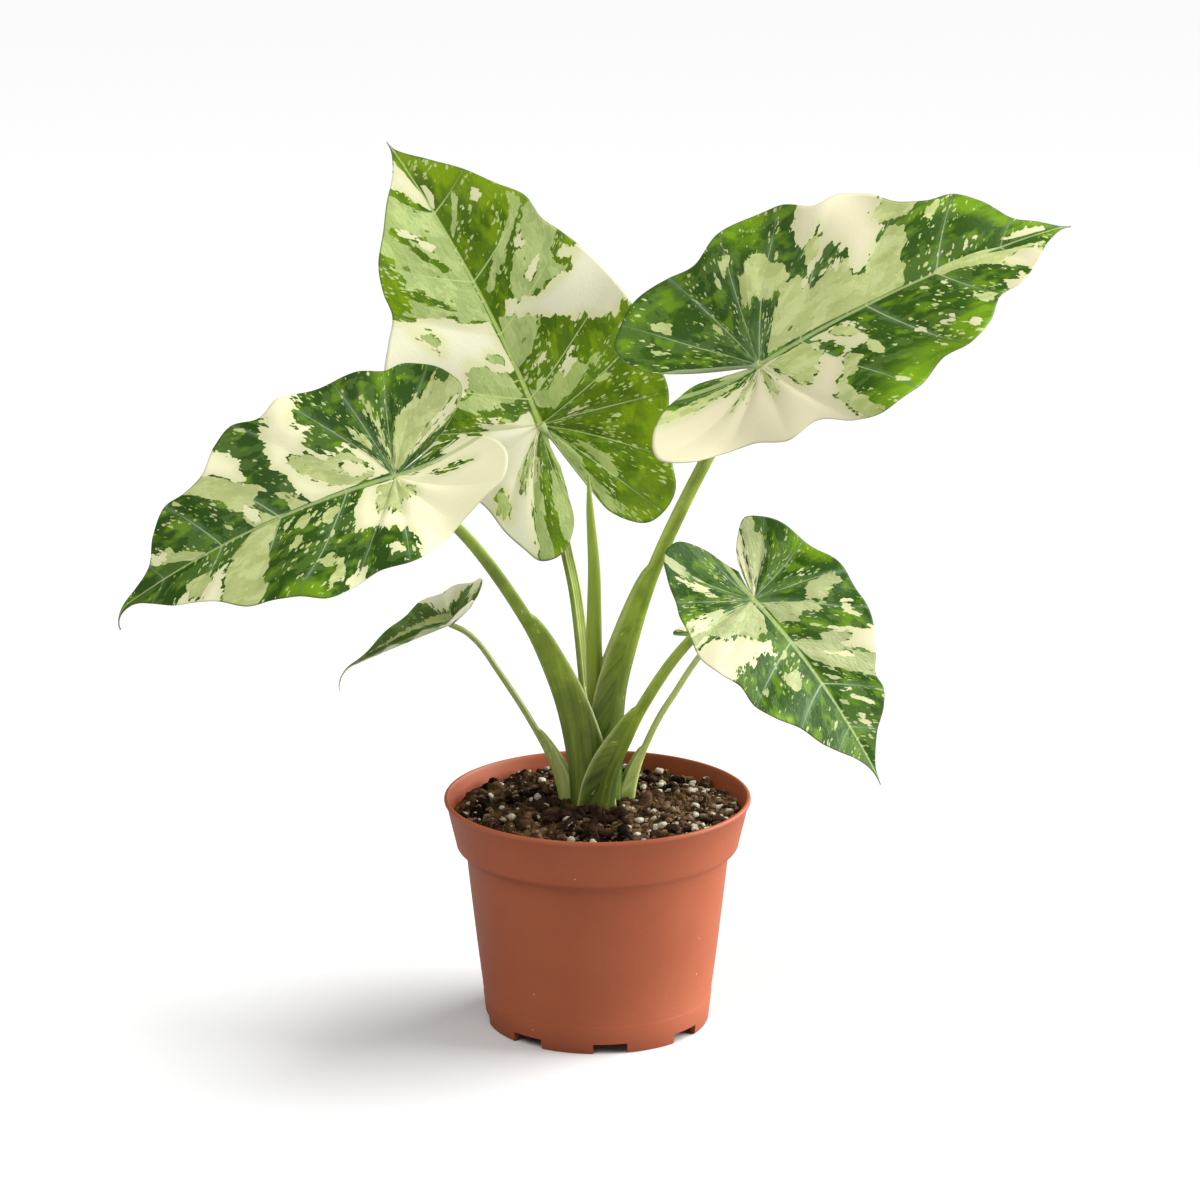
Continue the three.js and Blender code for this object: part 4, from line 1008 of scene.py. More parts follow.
LEAVES = (
    LeafForm(
        name="leaf_1",
        attach=(-109, -25, 317), heading=190, climb=-14, roll=-33,
        length=160, droop=28, bow=0, cup=0.22, fall=0.13, lobe_lift=0.8,
        wave=3.5, wave_length=52, drip_droop=70, rib_height=2.6,
        left=(
            (-25, -9.4), (-42, -5), (-53, 4), (-59, 24), (-52, 42), (-38, 48), (-24, 54), (-8, 65), (8, 74),
            (26, 69), (40, 73), (54, 78), (68, 67), (82, 58), (96, 54), (110, 41), (124, 31), (135, 24),
            (148, 12), (158, 4), (170, 1.3),
        ),
        right=(
            (-24, -10.5), (-38, -19), (-49, -32), (-45, -45), (-36, -59), (-24, -68), (-12, -65), (2, -69),
            (16, -71), (32, -70), (46, -69), (58, -63), (74, -69), (86, -59), (98, -44), (110, -40),
            (123, -40), (135, -27), (143, -12), (156, -5), (170, -1.3),
        ),
        tip=184,
        patches=LEAF_1_PATCHES,
        stalk=StalkForm(
            route=(
                (-4, -5, 106), (-9, -8, 150), (-16, -11, 182), (-24.5, -13, 206), (-38, -16, 235),
                (-74, -22, 287),
            ),
            foot_radius=9.6, shoulder_radius=4.4, top_radius=3.2, sheath_length=135, sheath_depth=9,
        ),
    ),
    LeafForm(
        name="leaf_2",
        attach=(-32, 72, 323), heading=186, climb=69, roll=-74,
        length=170, droop=28, bow=5, cup=0.19, fall=0.13, lobe_lift=0.92,
        wave=4, wave_length=58, drip_droop=10, rib_height=2.6,
        left=(
            (-26, -1), (-42, 3), (-55, 8), (-65, 24), (-63, 37), (-54, 42), (-42, 47), (-26, 50), (-10, 60),
            (10, 70), (30, 76), (48, 77), (64, 73), (78, 62), (90, 52), (104, 50), (118, 45), (134, 32),
            (148, 21), (161, 9), (174, 1.5),
        ),
        right=(
            (-26, -7), (-42, -10), (-57, -13), (-69, -26), (-68, -38), (-60, -51), (-46, -58), (-30, -66),
            (-12, -73), (4, -74), (24, -75), (44, -73), (60, -69), (76, -65), (92, -57), (104, -50),
            (119, -48), (132, -38), (147, -27), (160, -14), (174, -1.5),
        ),
        tip=181,
        patches=LEAF_2_PATCHES, glow=0.45,
        stalk=StalkForm(
            route=(
                (-3, 8, 106), (-4, 20, 150), (-7.5, 36, 192), (-12.5, 53, 231), (-18, 64, 255),
                (-27, 73, 300),
            ),
            foot_radius=7, shoulder_radius=3.8, top_radius=3, sheath_length=80, sheath_depth=6,
        ),
    ),
    LeafForm(
        name="leaf_3",
        attach=(88, 8, 371), heading=2, climb=32, roll=37,
        length=182, droop=33, bow=10, cup=0.24, fall=0.13, lobe_lift=1,
        wave=4, wave_length=55, drip_droop=15, rib_height=2.8,
        left=(
            (-20, 9), (-38, 17), (-54, 20), (-63, 38), (-54, 53), (-40, 67), (-20, 77), (-2, 74), (16, 82),
            (34, 86), (50, 81), (66, 68), (82, 71), (96, 64), (107, 50), (122, 43), (138, 42), (151, 31),
            (163, 15), (176, 8), (188, 1.5),
        ),
        right=(
            (-18, 4), (-36, 5), (-53, -5), (-66, -28), (-68, -51), (-55, -57), (-38, -54), (-22, -55),
            (-4, -68), (14, -63), (30, -76), (46, -86), (66, -78), (86, -65), (101, -67), (117, -56),
            (132, -38), (145, -35), (160, -24), (174, -10), (188, -1.5),
        ),
        tip=196,
        patches=LEAF_3_PATCHES, glow=0.1,
        stalk=StalkForm(
            route=(
                (5, 1, 106), (7, 1, 150), (10, 1, 188), (17, 2, 216), (31, 4, 259), (60, 6, 321),
            ),
            foot_radius=8.4, shoulder_radius=4.4, top_radius=3.5, sheath_length=155, sheath_depth=9,
        ),
    ),
    LeafForm(
        name="leaf_4",
        attach=(84, -42, 253), heading=-42, climb=-33, roll=18,
        length=115, droop=19, bow=-5.5, cup=0.18, fall=0.1, lobe_lift=0.65,
        wave=2.5, wave_length=36, drip_droop=15, rib_height=2,
        left=(
            (-15, 5), (-25, 8), (-34, 15), (-40, 24), (-35, 34), (-27, 41), (-14, 47), (0, 50), (14, 53),
            (26, 52), (39, 48), (52, 43), (62, 37), (72, 29), (81, 28), (90, 22), (98, 13), (107, 6),
            (115, 1.5),
        ),
        right=(
            (-18, 4), (-25.5, 0), (-36, -6.5), (-45, -20), (-41, -34), (-30, -39), (-18, -42), (-6, -49),
            (8, -52), (22, -54), (33, -53), (43, -46), (56, -45), (67, -40), (78, -29), (90, -22), (98, -15),
            (106, -7), (115, -1.5),
        ),
        tip=124,
        patches=LEAF_4_PATCHES,
        stalk=StalkForm(
            route=(
                (1, -10, 106), (6, -16, 146), (15.5, -21, 170), (26.5, -27, 193), (44.5, -34, 222),
                (66, -40, 245),
            ),
            foot_radius=7.8, shoulder_radius=3.7, top_radius=2.8, sheath_length=85, sheath_depth=8,
        ),
    ),
    LeafForm(
        name="leaf_5",
        attach=(-81, 25, 222), heading=164, climb=-26, roll=-10,
        length=66, droop=4, bow=-7, cup=0.27, fall=-0.09, lobe_lift=0.86,
        wave=1.4, wave_length=24, drip_droop=60, rib_height=1.2,
        left=(
            (-10, 3), (-20, 7), (-23, 13), (-19, 20), (-10, 27), (1, 30), (12, 29), (22, 28), (32, 24),
            (41, 20), (50, 12), (58, 6), (65, 2.5), (75, 1),
        ),
        right=(
            (-10, -3), (-20, -6), (-23, -12), (-20, -19), (-11, -26), (0, -29), (10, -31), (21, -28),
            (31, -25), (41, -19), (50, -13), (58, -6), (65, -2.5), (75, -1),
        ),
        tip=88,
        patches=LEAF_5_PATCHES,
        stalk=StalkForm(
            route=(
                (-14, 4, 106), (-22, 6, 141), (-37, 12, 169), (-55, 18, 196), (-65, 22, 209.5),
                (-73, 24, 216.5),
            ),
            foot_radius=4.6, shoulder_radius=2, top_radius=1.6, sheath_length=62, sheath_depth=5,
        ),
    ),
    LeafForm(
        name="leaf_6",
        attach=(69, 20, 216), heading=28, climb=1, roll=0,
        length=62, droop=10, bow=5, cup=0.1, fall=0, lobe_lift=0.1,
        wave=1.4, wave_length=24, drip_droop=45, rib_height=1.2,
        left=(
            (-10, 3), (-20, 5), (-26, 8), (-24, 12), (-13, 18), (-1, 25), (10, 29), (21, 27), (31, 24),
            (41, 18), (49, 12), (56, 6), (62, 2.5), (70, 1),
        ),
        right=(
            (-10, -3), (-20, -7), (-23, -13), (-19, -20), (-10, -26), (1, -29), (12, -28), (22, -27),
            (32, -23), (40, -19), (48, -12), (55, -6), (62, -2.5), (70, -1),
        ),
        tip=78,
        patches=LEAF_6_PATCHES,
        stalk=StalkForm(
            route=(
                (14, 5, 106), (21, 7, 141), (33, 11, 169), (43, 13, 185), (53, 16.5, 200), (61, 18.5, 209.5),
            ),
            foot_radius=4.6, shoulder_radius=2, top_radius=1.7, sheath_length=50, sheath_depth=5,
        ),
    ),
)


@dataclass
class Blade:
    """A leaf blade with its relief, its veins and the fields that its skin is coloured by."""

    form: LeafForm
    row_steps: int = 9
    across_steps: int = 52
    across_crowding: float = 1.15
    thickness: float = 0.9
    margin_share: float = 0.5
    vein_end: float = 0.30
    vein_growth: float = 0.42
    rib_end: float = 0.5
    rib_growth: float = 1.1
    vein_slant: float = 0.65
    vein_arch: float = 0.22
    quilt: float = 0.8
    quilt_bulge: float = 0.6
    full_quilt_width: float = 30.0
    rib_width: float = 1.7
    thinnest_rib: float = 0.15
    crest_height: float = 0.35
    crest_width: float = 0.9
    ripple_height: float = 0.35
    ripple_lengths: Pair = (11, 9)
    ripple_starts: Pair = (2.0, 18.0)
    backlit_edge: Pair = (-4.0, 6.0)
    wave_reach: float = 0.45
    wave_phase: Pair = (0.5, 2.0)
    grain_step: float = 12.0
    half_mark: float = 40.0
    field_reach: float = 12.0

    def margin(self, side: int, rows: Array) -> Array:
        """Returns the margin's flat points beside side veins, 1 for the left half and -1 for the right."""
        edge = self.form.left if side > 0 else self.form.right
        return smooth_curve(np.vstack([edge, (self.form.tip, 0.0)]), rows)

    def rib_start(self, rows: Array) -> Array:
        """Returns where side veins leave the midrib, in millimetres from the stalk."""
        left, right = np.array(self.form.left, float), np.array(self.form.right, float)
        reach = (np.abs(left[:, 1]) + np.abs(right[:, 1])) / 2
        starts = np.maximum(0.0, (left[:, 0] + right[:, 0]) / 2 - self.vein_slant * reach)
        return np.interp(rows, np.arange(len(left) + 1), np.append(starts, self.form.tip))

    def flat(self, start: Array, edge: Array, out: Array) -> Array:
        """Returns flat places on arched side veins.

        Args:
            start: Where each vein leaves the midrib.
            edge: Where it meets the margin.
            out: The share of the way from the one to the other.

        Returns:
            Distances along the midrib and across it.
        """
        x = start + (edge[..., 0] - start) * (out + self.vein_arch * out * (out - 1))
        return columns(x, edge[..., 1] * out)

    def midrib(self, x: Array) -> tuple[Array, Array]:
        """Returns the midrib's points and the directions above it, at distances from the stalk."""
        form = self.form
        along, _, up = form.axes()
        droop = math.radians(form.droop)
        angle = droop * np.clip(x, 0.0, form.length) / form.length
        radius = form.length / droop
        turn = math.radians(form.drip_droop) / (form.tip - form.length)
        tip_angle = angle + turn * np.clip(x - form.length, 0.0, None)
        forward = radius * np.sin(angle) + (np.sin(tip_angle) - np.sin(angle)) / turn + np.minimum(x, 0.0)
        down = radius * (1 - np.cos(angle)) + (np.cos(angle) - np.cos(tip_angle)) / turn
        centre = np.array(form.attach, float) + forward[..., None] * along - down[..., None] * up
        return centre, np.sin(tip_angle)[..., None] * along + np.cos(tip_angle)[..., None] * up

    def skin(self, x: Array, y: Array, side: int, lift: Array) -> Array:
        """Returns the middle of the blade.

        Args:
            x: Distances along the midrib.
            y: Distances across it.
            side: 1 on the left half and -1 on the right.
            lift: How far each point stands above the plain form.

        Returns:
            Points in the frame.
        """
        form = self.form
        centre, above = self.midrib(x)
        sideways = math.radians(form.bow) * np.maximum(x, 0.0) ** 2 / (2 * form.length)
        phase = self.wave_phase[0 if side > 0 else 1]
        reach = np.abs(y) / (self.wave_reach * form.length)
        height = form.wave * reach**2 * np.sin(FULL_TURN * x / form.wave_length + phase) + lift
        height += form.cup * np.abs(y) - form.fall * y**2 / form.length
        height += form.lobe_lift * np.minimum(x, 0.0) ** 2 / form.length
        return centre + (y + sideways)[..., None] * form.axes()[1] + height[..., None] * above

    def ripple(self, x: Array, y: Array) -> Array:
        """Returns a slight unevenness of the whole blade."""
        seed = sum(self.form.attach)
        along, across = self.ripple_lengths
        slow = np.sin(x / along + seed) * np.sin(y / across + 0.7 * seed)
        return self.ripple_height * slow * smooth_step(*self.ripple_starts, np.abs(y))

    def half(self, side: int) -> tuple[Array, ...]:
        """Works out one half of the blade, for row and place across.

        Args:
            side: 1 for the left half and -1 for the right.

        Returns:
            Flat places, points on the middle of the blade, grain, gaps to the veins and shares of the way
            out.
        """
        form = self.form
        rows = len(form.left)
        places = np.linspace(0, rows, rows * self.row_steps + 1)
        share = np.linspace(0.0, 1.0, self.across_steps + 1) ** self.across_crowding
        start = self.rib_start(places)
        edge = self.margin(side, places)
        out = np.broadcast_to(share, (len(places), len(share)))
        flat = self.flat(start[:, None], edge[:, None], out)
        x, y = flat[..., 0], flat[..., 1]
        bulge = (0.5 - 0.5 * np.cos(math.pi * places)) ** self.quilt_bulge
        width = np.minimum(1.0, np.abs(edge[:, 1]) / self.full_quilt_width)
        lift = self.quilt * ((2 * bulge - 1) * width)[:, None] * np.sin(math.pi * out)
        points = self.skin(x, y, side, lift + self.ripple(x, y))
        length = np.hypot(edge[:, 0] - start, edge[:, 1])[:, None]
        spacing = np.linalg.norm(np.gradient(points, places, axis=0), axis=2)
        gap = np.abs(places - 2 * np.round(places / 2))[:, None] * spacing
        vein_width = self.vein_end + self.vein_growth * (1 - out)
        rib_width = self.rib_end + self.rib_growth * np.clip(1 - x / form.length, 0.0, 1.0)
        grain = columns(length * out, self.grain_step * side * places[:, None], self.half_mark * side)
        return flat, points, grain, columns(gap / vein_width, np.abs(y) / rib_width, length * (1 - out)), out

    def welded(self, flat: Array) -> tuple[Array, Array, Array]:
        """Joins both halves along the midrib and the tip.

        Args:
            flat: The flat places of both halves.

        Returns:
            The triangles of the upper face by place, the first place of each welded point, and each place's
            welded point.
        """
        index = np.arange(flat.size // 2).reshape(flat.shape[:3])
        a, b, c, d = index[:, :-1, :-1], index[:, 1:, :-1], index[:, 1:, 1:], index[:, :-1, 1:]
        left, right = ((a[0], b[0], c[0]), (a[0], c[0], d[0])), ((a[1], c[1], b[1]), (a[1], d[1], c[1]))
        source = np.concatenate([columns(*face).reshape(-1, 3) for face in (*left, *right)])
        keys = np.round(flat.reshape(-1, 2), 4)
        _, first, weld = np.unique(keys, axis=0, return_index=True, return_inverse=True)
        weld = weld.reshape(-1)
        a, b, c = weld[source].T
        return source[(a != b) & (b != c) & (a != c)], first, weld

    def surface(self) -> Surface:
        """Returns the blade as a closed mesh with its corner fields."""
        form = self.form
        flat, middle, grain, veins, out = (np.array(part) for part in zip(self.half(1), self.half(-1)))
        source, first, weld = self.welded(flat)
        triangles = weld[source]
        skin = middle.reshape(-1, 3)[first]
        count = len(skin)
        outward = np.cross(*(skin[triangles[:, corner]] - skin[triangles[:, 0]] for corner in (1, 2)))
        normals = np.zeros_like(skin)
        for corner in range(3):
            np.add.at(normals, triangles[:, corner], outward)
        normals = unit(normals)
        down_rib, gap = flat.reshape(-1, 2)[first].T[..., None]
        gap = np.abs(gap)
        ahead = 1 - down_rib / form.length
        half = 0.5 * self.thickness * (1 - self.margin_share * out.reshape(-1, 1)[first] ** 2)
        depth = form.rib_height * np.clip(ahead, self.thinnest_rib, 1.0)
        rib = depth * np.exp(-((gap / self.rib_width) ** 2)) * (down_rib < form.length)
        crest = self.crest_height * np.exp(-((gap / self.crest_width) ** 2)) * np.clip(ahead, 0.0, 1.0)
        points = np.concatenate([skin + normals * (half + crest), skin - normals * (half + rib)])

        edges = np.concatenate([source[:, [0, 1]], source[:, [1, 2]], source[:, [2, 0]]])
        start, end = weld[edges].T
        open_edge = ~np.isin(start * count + end, end * count + start)
        edges, start, end = edges[open_edge], start[open_edge], end[open_edge]
        rim = columns(start, start + count, end + count), columns(start, end + count, end)
        rim_corners = np.concatenate([edges[:, [0, 0, 1]], edges[:, [0, 1, 1]]])
        corner = np.concatenate([source, source[:, ::-1], rim_corners]).ravel()
        upper = np.zeros(corner.size)
        upper[: source.size] = 1.0
        fields = {"grain": grain, "tones": self.tones(flat.reshape(-1, 2)), "veins": veins}
        corners = {label: values.reshape(-1, 3)[corner] for label, values in fields.items()}
        faces = np.concatenate([triangles, triangles[:, ::-1] + count, *rim])
        return Surface(points, faces, {**corners, "upper": upper})

    def tones(self, places: Array) -> Array:
        """Returns how deep each place lies in cream and in sage, and how much painted backlight its green
        shows.
        """
        depths = {tone: np.full(len(places), -self.field_reach) for tone in (Tone.CREAM, Tone.SAGE)}
        glow = np.full(len(places), self.form.glow)
        for patch in self.form.patches:
            rows, share = patch.along_veins().T
            edge = np.where(share[:, None] >= 0, self.margin(1, rows), self.margin(-1, rows))
            inside = signed_distance(places, self.flat(self.rib_start(rows), edge, np.abs(share)))
            # A backlight patch raises the painted backlight, with a soft edge.
            if patch.tone is Tone.LIME:
                glow = np.maximum(glow, smooth_step(*self.backlit_edge, inside))
                continue
            for tone, depth in depths.items():
                within = patch.tone is tone
                depths[tone] = np.maximum(depth, inside) if within else np.minimum(depth, -inside)
        reach = self.field_reach
        return columns(*(np.clip(depth, -reach, reach) for depth in depths.values()), glow)

    def build(self, material: Material) -> None:
        """Makes the blade and lets it stand for its node."""
        name = self.form.name
        piece = self.surface().to_object(name.replace("leaf", "blade"), material)
        place_piece(piece, Slot.LEAF, f"{name}_blade")


def loft(rings: Array, fields: dict[str, Array]) -> Surface:
    """Joins rings of points into one closed body with fanned ends.

    Args:
        rings: Points for ring and place round it.
        fields: What each point carries, for ring and place round it.

    Returns:
        The closed body. A point's fields are also its corners' fields.
    """
    count, size = rings.shape[:2]
    index = np.arange(count * size).reshape(count, size)
    after = np.roll(index, -1, axis=1)
    a, b, c, d = index[:-1], after[:-1], after[1:], index[1:]
    foot, top = count * size, count * size + 1
    faces = (a, b, c), (a, c, d), (after[0], index[0], foot), (index[-1], after[-1], top)
    triangles = np.concatenate([columns(*face).reshape(-1, 3) for face in faces])

    def with_ends(values: Array) -> Array:
        """Returns the values of all rings, and the means of the first and the last."""
        return np.concatenate([values.reshape(-1, 3), *(values[[end]].mean(axis=1) for end in (0, -1))])

    corners = {label: with_ends(values)[triangles.ravel()] for label, values in fields.items()}
    return Surface(with_ends(rings), triangles, corners)


@dataclass
class Stalk:
    """A leaf stalk: a channelled rod above and an open winged sheath below."""

    form: LeafForm
    steps: int = 150
    curve_steps: int = 3
    back_corners: int = 9
    hollow_corners: tuple[int, int] = (11, 16)
    wing_share: float = 0.72
    channel_share: float = 0.62
    sheath_wall: float = 1.5
    sheath_opening: float = 0.62
    sheath_taper: float = 1.3
    under_blade: float = 0.9
    past_join: float = 1.5

    def section(self, radius: float, wing: float, opened: float) -> Array:
        """Returns the outline across the stalk.

        Args:
            radius: The radius of its round back.
            wing: How far the wings of the sheath stand.
            opened: 0 where only a shallow channel is left and 1 in the full sheath.

        Returns:
            A smooth closed outline, the back first.
        """
        back = columns(*around_axis(radius, math.pi + np.linspace(0.0, math.pi, self.back_corners)))
        solid = radius * self.channel_share
        wall = solid + (self.sheath_wall - solid) * opened
        side = radius * (1 + 0.06 * opened)
        channel = solid - radius * 0.97 * opened
        right = [
            (side * (0.94 + 0.06 * opened), wing * 0.5),
            (side * (0.66 + 0.30 * opened), wing),
            (side - wall, wing - 0.3),
            ((side - wall) * 0.55, channel + 0.35 * (wing - channel)),
        ]
        front = [*right, (0.0, channel), *((-x, y) for x, y in reversed(right))]
        corners = np.concatenate([back, np.array(front)])
        ring = np.vstack([corners[-1:], corners, corners[:2]])
        return smooth_curve(ring, 1 + np.arange(len(corners) * self.curve_steps) / self.curve_steps)

    def surface(self) -> Surface:
        """Returns the stalk as a closed mesh."""
        form, stalk = self.form, self.form.stalk
        along, _, up = form.axes()
        end = np.array(form.attach, float) - self.under_blade * up + self.past_join * along
        route = np.vstack([stalk.route, end])
        dense = np.linspace(0, len(route) - 1, 60 * len(route))
        reached = distance_along(smooth_curve(route, dense))
        even = np.linspace(0.0, 1.0, self.steps + 1) * reached[-1]
        centres = smooth_curve(route, np.interp(even, reached, dense))
        heights = distance_along(centres)
        tangents = unit(np.gradient(centres, heights, axis=0))
        inward = unit((route[0] - form.attach) * (1, 1, 0))
        sheath = stalk.sheath_length
        opened_at = np.clip((sheath - heights) / (self.sheath_opening * sheath), 0.0, 1.0) ** 0.5
        flare = np.clip(1 - heights / sheath, 0.0, 1.0) ** self.sheath_taper
        thinning = np.clip((heights - sheath) / (heights[-1] - sheath), 0.0, 1.0)
        radii = stalk.shoulder_radius + (stalk.foot_radius - stalk.shoulder_radius) * flare
        radii += (stalk.top_radius - stalk.shoulder_radius) * thinning
        first, last = (corner * self.curve_steps for corner in self.hollow_corners)
        rings, grains, marks = [], [], []
        for centre, tangent, height, radius, opened in zip(centres, tangents, heights, radii, opened_at):
            wing = radius * self.wing_share + stalk.sheath_depth * opened
            flat = self.section(radius, wing, opened)
            facing = unit(inward - tangent * (inward @ tangent))
            rings.append(centre - flat[:, :1] * np.cross(tangent, facing) + flat[:, 1:] * facing)
            lip = smooth_step(wing - 1.6, wing - 0.5, flat[:, 1]) * max(opened, 0.25)
            hollow = np.zeros(len(flat))
            hollow[first:last] = opened
            grains.append(columns(height, distance_along(flat), form.attach[0]))
            marks.append(columns(height / heights[-1], lip, hollow))
        return loft(np.array(rings), {"grain": np.array(grains), "stalk": np.array(marks)})

    def build(self, material: Material) -> None:
        """Makes the stalk and lets it stand for its node."""
        name = self.form.name
        piece = self.surface().to_object(name.replace("leaf", "stalk"), material)
        place_piece(piece, Slot.STALK, f"{name}_stem")


@dataclass
class NewLeaf:
    """The youngest leaf, still rolled into a spear with the edge of the roll showing along it."""

    route: tuple[Triple, ...] = (
        (1, 3, 106), (-1, 5, 170), (-2, 6, 215), (-2, 6, 258), (-4, 7, 289), (-5, 8, 310),
    )
    radii: tuple[float, ...] = (4.6, 4.9, 4.7, 3.6, 2.3, 0.6)
    steps: int = 150
    sides: int = 48
    roll_step: float = 0.14
    fold_width: float = 0.06
    finest: float = 0.35
    first_seam: float = -60
    seam_turn: float = 50

    def surface(self) -> Surface:
        """Returns the spear as a closed mesh."""
        route = np.array(self.route, float)
        shares = np.linspace(0.0, 1.0, self.steps + 1)
        centres = smooth_curve(route, shares * (len(route) - 1))
        radii = smooth_curve(np.array(self.radii)[:, None], shares * (len(self.radii) - 1))[:, 0]
        turn = np.linspace(0.0, 1.0, self.sides, endpoint=False)
        roll = 1 - self.roll_step + self.roll_step * smooth_step(0.0, self.fold_width, turn) * (1 - turn)
        edge = np.exp(-(((turn - 0.05) / 0.03) ** 2))
        rings, grains, marks = [], [], []
        for centre, radius, share in zip(centres, radii, shares):
            seam = math.radians(self.first_seam + self.seam_turn * share)
            reach = max(radius, self.finest) * roll
            rings.append(centre + columns(*around_axis(reach, seam + FULL_TURN * turn), 0.0))
            grains.append(columns(centre[2], turn * 6.3 * radius, 5.0))
            marks.append(columns(0.25 + 0.6 * share, edge, 0.0))
        return loft(np.array(rings), {"grain": np.array(grains), "stalk": np.array(marks)})

    def build(self, material: Material) -> None:
        """Makes the spear and lets it stand for its node."""
        piece = self.surface().to_object("rolled_leaf", material)
        place_piece(piece, Slot.NEW_LEAF, "new_leaf")


@dataclass
class Pot:
    """A thin moulded nursery pot with a deep collar, a foot ring and notches for drainage."""

    height: float = 129.6
    rim_radius: float = 85
    base_radius: float = 62
    step_height: float = 101
    under_collar_radius: float = 73.4
    collar_low_radius: float = 78.6
    wall: float = 1.6
    ring_width: float = 3.4
    floor_underside: float = 7
    floor_top: float = 9
    notches: int = 8
    notch_width: float = 19
    notch_height: float = 5.8
    notch_length: float = 18
    first_notch: float = -83.5
    slot_width: float = 9
    slot_length: float = 8
    slot_cut: float = 6
    slot_inset: float = 5
    segments: int = 256
    sharpest: float = 32

    def wall_radius(self, height: float) -> float:
        """Returns the outer radius under the collar at a height."""
        return self.base_radius + (self.under_collar_radius - self.base_radius) * height / self.step_height

    def profile(self) -> list[Pair]:
        """Returns the pot's outline from the middle of its underside to the middle of its floor."""
        at, wall, top, step = self.wall_radius, self.wall, self.height, self.step_height
        base, under = self.base_radius, self.under_collar_radius
        low, rim = self.collar_low_radius, self.rim_radius
        foot, below, floor = base - self.ring_width, self.floor_underside, self.floor_top
        bore = at(floor) - wall
        return [
            (0, below), (foot - 0.6, below), (foot, below - 0.6), (foot, 0.3), (foot + 0.3, 0),
            (base - 0.9, 0),
            (base - 0.35, 0.2), (at(0.8), 0.8), (at(8), 8), (at(15.8), 15.8), (at(16.1) - 0.12, 16.1),
            (at(16.6) - 0.3, 16.6), (at(45), 45), (at(75), 75), (under - 0.4, step - 2.2),
            (under - 0.1, step - 1), (under + 0.5, step - 0.35), (low - 1.9, step + 0.1),
            (low - 0.9, step + 0.6),
            (low - 0.3, step + 1.5),
            (low, step + 3.2), (low + 2.1, step + 12), (rim - 1.35, top - 3.6), (rim - 0.7, top - 2.9),
            (rim - 0.15, top - 2.3), (rim, top - 1.6), (rim - 0.15, top - 0.8), (rim - 0.6, top - 0.2),
            (rim - 1.2, top), (rim - 1.9, top - 0.15), (rim - 2.4, top - 0.7), (rim - 2.75, top - 1.6),
            (rim - 3.1, top - 3.4), (low - wall + 1.6, step + 11), (low - wall, step + 3.6),
            (under - wall + 0.4, step + 1.2), (under - wall - 0.4, step - 2.4), (bore, floor + 0.8),
            (bore - 0.8, floor), (0, floor),
        ]

    def body(self) -> Piece:
        """Turns the outline round the pot's axis and returns the closed body."""
        made = bmesh.new()
        turned = []
        for radius, height in self.profile():
            angles = [FULL_TURN * k / self.segments for k in range(self.segments if radius else 1)]
            ring = [np.array((*around_axis(radius, angle), height)) * MM for angle in angles]
            turned.append([made.verts.new(place) for place in ring])
        for low, high in zip(turned, turned[1:]):
            for k in range(self.segments):
                after = (k + 1) % self.segments
                places = (low, k), (low, after), (high, after), (high, k)
                corners = [ring[i % len(ring)] for ring, i in places]
                made.faces.new(list(dict.fromkeys(corners)))
        bmesh.ops.recalc_face_normals(made, faces=made.faces)
        mesh = bpy.data.meshes.new("nursery_pot")
        made.to_mesh(mesh)
        made.free()
        return linked("nursery_pot", mesh)

    def cutters(self) -> Piece:
        """Returns one mesh that holds the notches in the foot ring and the slots in the floor."""
        made = bmesh.new()
        notch_size = (self.notch_length, self.notch_width, self.notch_height + 1)
        notch_place = (self.base_radius - 1, 0, self.notch_height / 2 - 0.5)
        slot_size = (self.slot_length, self.slot_width, self.slot_cut)
        slot_place = (self.base_radius - self.ring_width - self.slot_inset, 0, self.floor_top)
        for i in range(self.notches):
            turn = Matrix.Rotation(math.radians(self.first_notch) + FULL_TURN * i / self.notches, 4, "Z")
            for size, place in ((notch_size, notch_place), (slot_size, slot_place)):
                shape = Matrix.Translation(Vector(place) * MM) @ Matrix.Diagonal((*(Vector(size) * MM), 1.0))
                bmesh.ops.create_cube(made, size=1.0, matrix=turn @ shape)
        mesh = bpy.data.meshes.new("notch_cutters")
        made.to_mesh(mesh)
        made.free()
        return linked("notch_cutters", mesh)

    def build(self, material: Material) -> None:
        """Makes the pot, cuts its notches and lets it stand for its node."""
        body, cutters = self.body(), self.cutters()
        cut = body.modifiers.new("notches", "BOOLEAN")
        cut.object = cutters
        cut.solver = "EXACT"
        cut.use_self = True
        graph = bpy.context.evaluated_depsgraph_get()
        mesh = bpy.data.meshes.new_from_object(body.evaluated_get(graph))
        body.modifiers.clear()
        body.data = mesh
        bpy.data.objects.remove(cutters)
        mesh.materials.clear()
        mesh.materials.append(material)
        mesh.shade_smooth()
        mesh.set_sharp_from_angle(angle=math.radians(self.sharpest))
        place_piece(body, Slot.POT, "pot")


